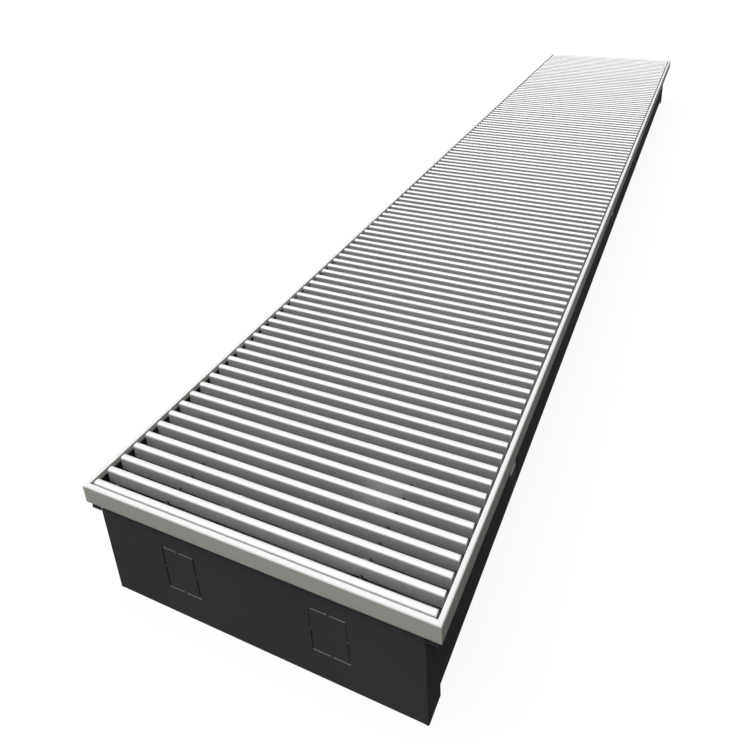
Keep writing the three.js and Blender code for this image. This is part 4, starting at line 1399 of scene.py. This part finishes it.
SEEN_SKY = (1.0, 1.0, 1.0, 1)
FAINT_SKY = (0.03, 0.03, 0.03, 1)
WHITE = (1.0, 1.0, 1.0, 1)
BOUNCE_FLOOR = (0.04, 0.04, 0.04, 1)
floor_own_white = 0.93
reflected_share = 0.4


def seen_or_reflected(tree):
    """1 for what the camera sees directly or through glass, less in reflections, 0 for bounced light."""
    path = tree.nodes.new("ShaderNodeLightPath")
    reflected = tree.nodes.new("ShaderNodeMath")
    reflected.operation = "MULTIPLY"
    reflected.inputs[1].default_value = reflected_share
    tree.links.new(path.outputs["Is Glossy Ray"], reflected.inputs[0])
    share = reflected.outputs[0]
    for kind in ("Is Camera Ray", "Is Transmission Ray"):
        larger = tree.nodes.new("ShaderNodeMath")
        larger.operation = "MAXIMUM"
        tree.links.new(share, larger.inputs[0])
        tree.links.new(path.outputs[kind], larger.inputs[1])
        share = larger.outputs[0]
    return share


floor_material = bpy.data.materials.new("pale_floor")
floor_material.use_nodes = True
floor_tree = floor_material.node_tree
floor_tree.nodes.remove(floor_tree.nodes["Principled BSDF"])
glow = floor_tree.nodes.new("ShaderNodeEmission")
glow.inputs["Color"].default_value = WHITE
seen_coat = floor_tree.nodes.new("ShaderNodeBsdfDiffuse")
seen_coat.inputs["Color"].default_value = WHITE
seen_floor = floor_tree.nodes.new("ShaderNodeMixShader")
seen_floor.inputs["Fac"].default_value = floor_own_white
floor_tree.links.new(seen_coat.outputs[0], seen_floor.inputs[1])
floor_tree.links.new(glow.outputs[0], seen_floor.inputs[2])
bounce_coat = floor_tree.nodes.new("ShaderNodeBsdfDiffuse")
bounce_coat.inputs["Color"].default_value = BOUNCE_FLOOR
whole_floor = floor_tree.nodes.new("ShaderNodeMixShader")
floor_tree.links.new(seen_or_reflected(floor_tree), whole_floor.inputs["Fac"])
floor_tree.links.new(bounce_coat.outputs[0], whole_floor.inputs[1])
floor_tree.links.new(seen_floor.outputs[0], whole_floor.inputs[2])
floor_tree.links.new(whole_floor.outputs[0], floor_tree.nodes["Material Output"].inputs["Surface"])
floor_mesh.materials.append(floor_material)

world = bpy.data.worlds.new("studio_sky")
world.use_nodes = True
scene.world = world
sky_tree = world.node_tree
sky_tone = sky_tree.nodes.new("ShaderNodeMix")
sky_tone.data_type = "RGBA"
sky_tone.inputs["A"].default_value = FAINT_SKY
sky_tone.inputs["B"].default_value = SEEN_SKY
sky_tree.links.new(seen_or_reflected(sky_tree), sky_tone.inputs["Factor"])
sky_tree.links.new(sky_tone.outputs["Result"], sky_tree.nodes["Background"].inputs["Color"])

lamp_strength = 3.3
lamp_softness = math.radians(60)
lamp_direction = Vector((0.13, 0.2, -1))
lamp = bpy.data.objects.new("studio_lamp", bpy.data.lights.new("studio_lamp", "SUN"))
lamp.data.energy = lamp_strength
lamp.data.angle = lamp_softness
lamp.rotation_euler = lamp_direction.to_track_quat("-Z", "Y").to_euler()
scene.collection.objects.link(lamp)

scene.view_settings.view_transform = "Standard"
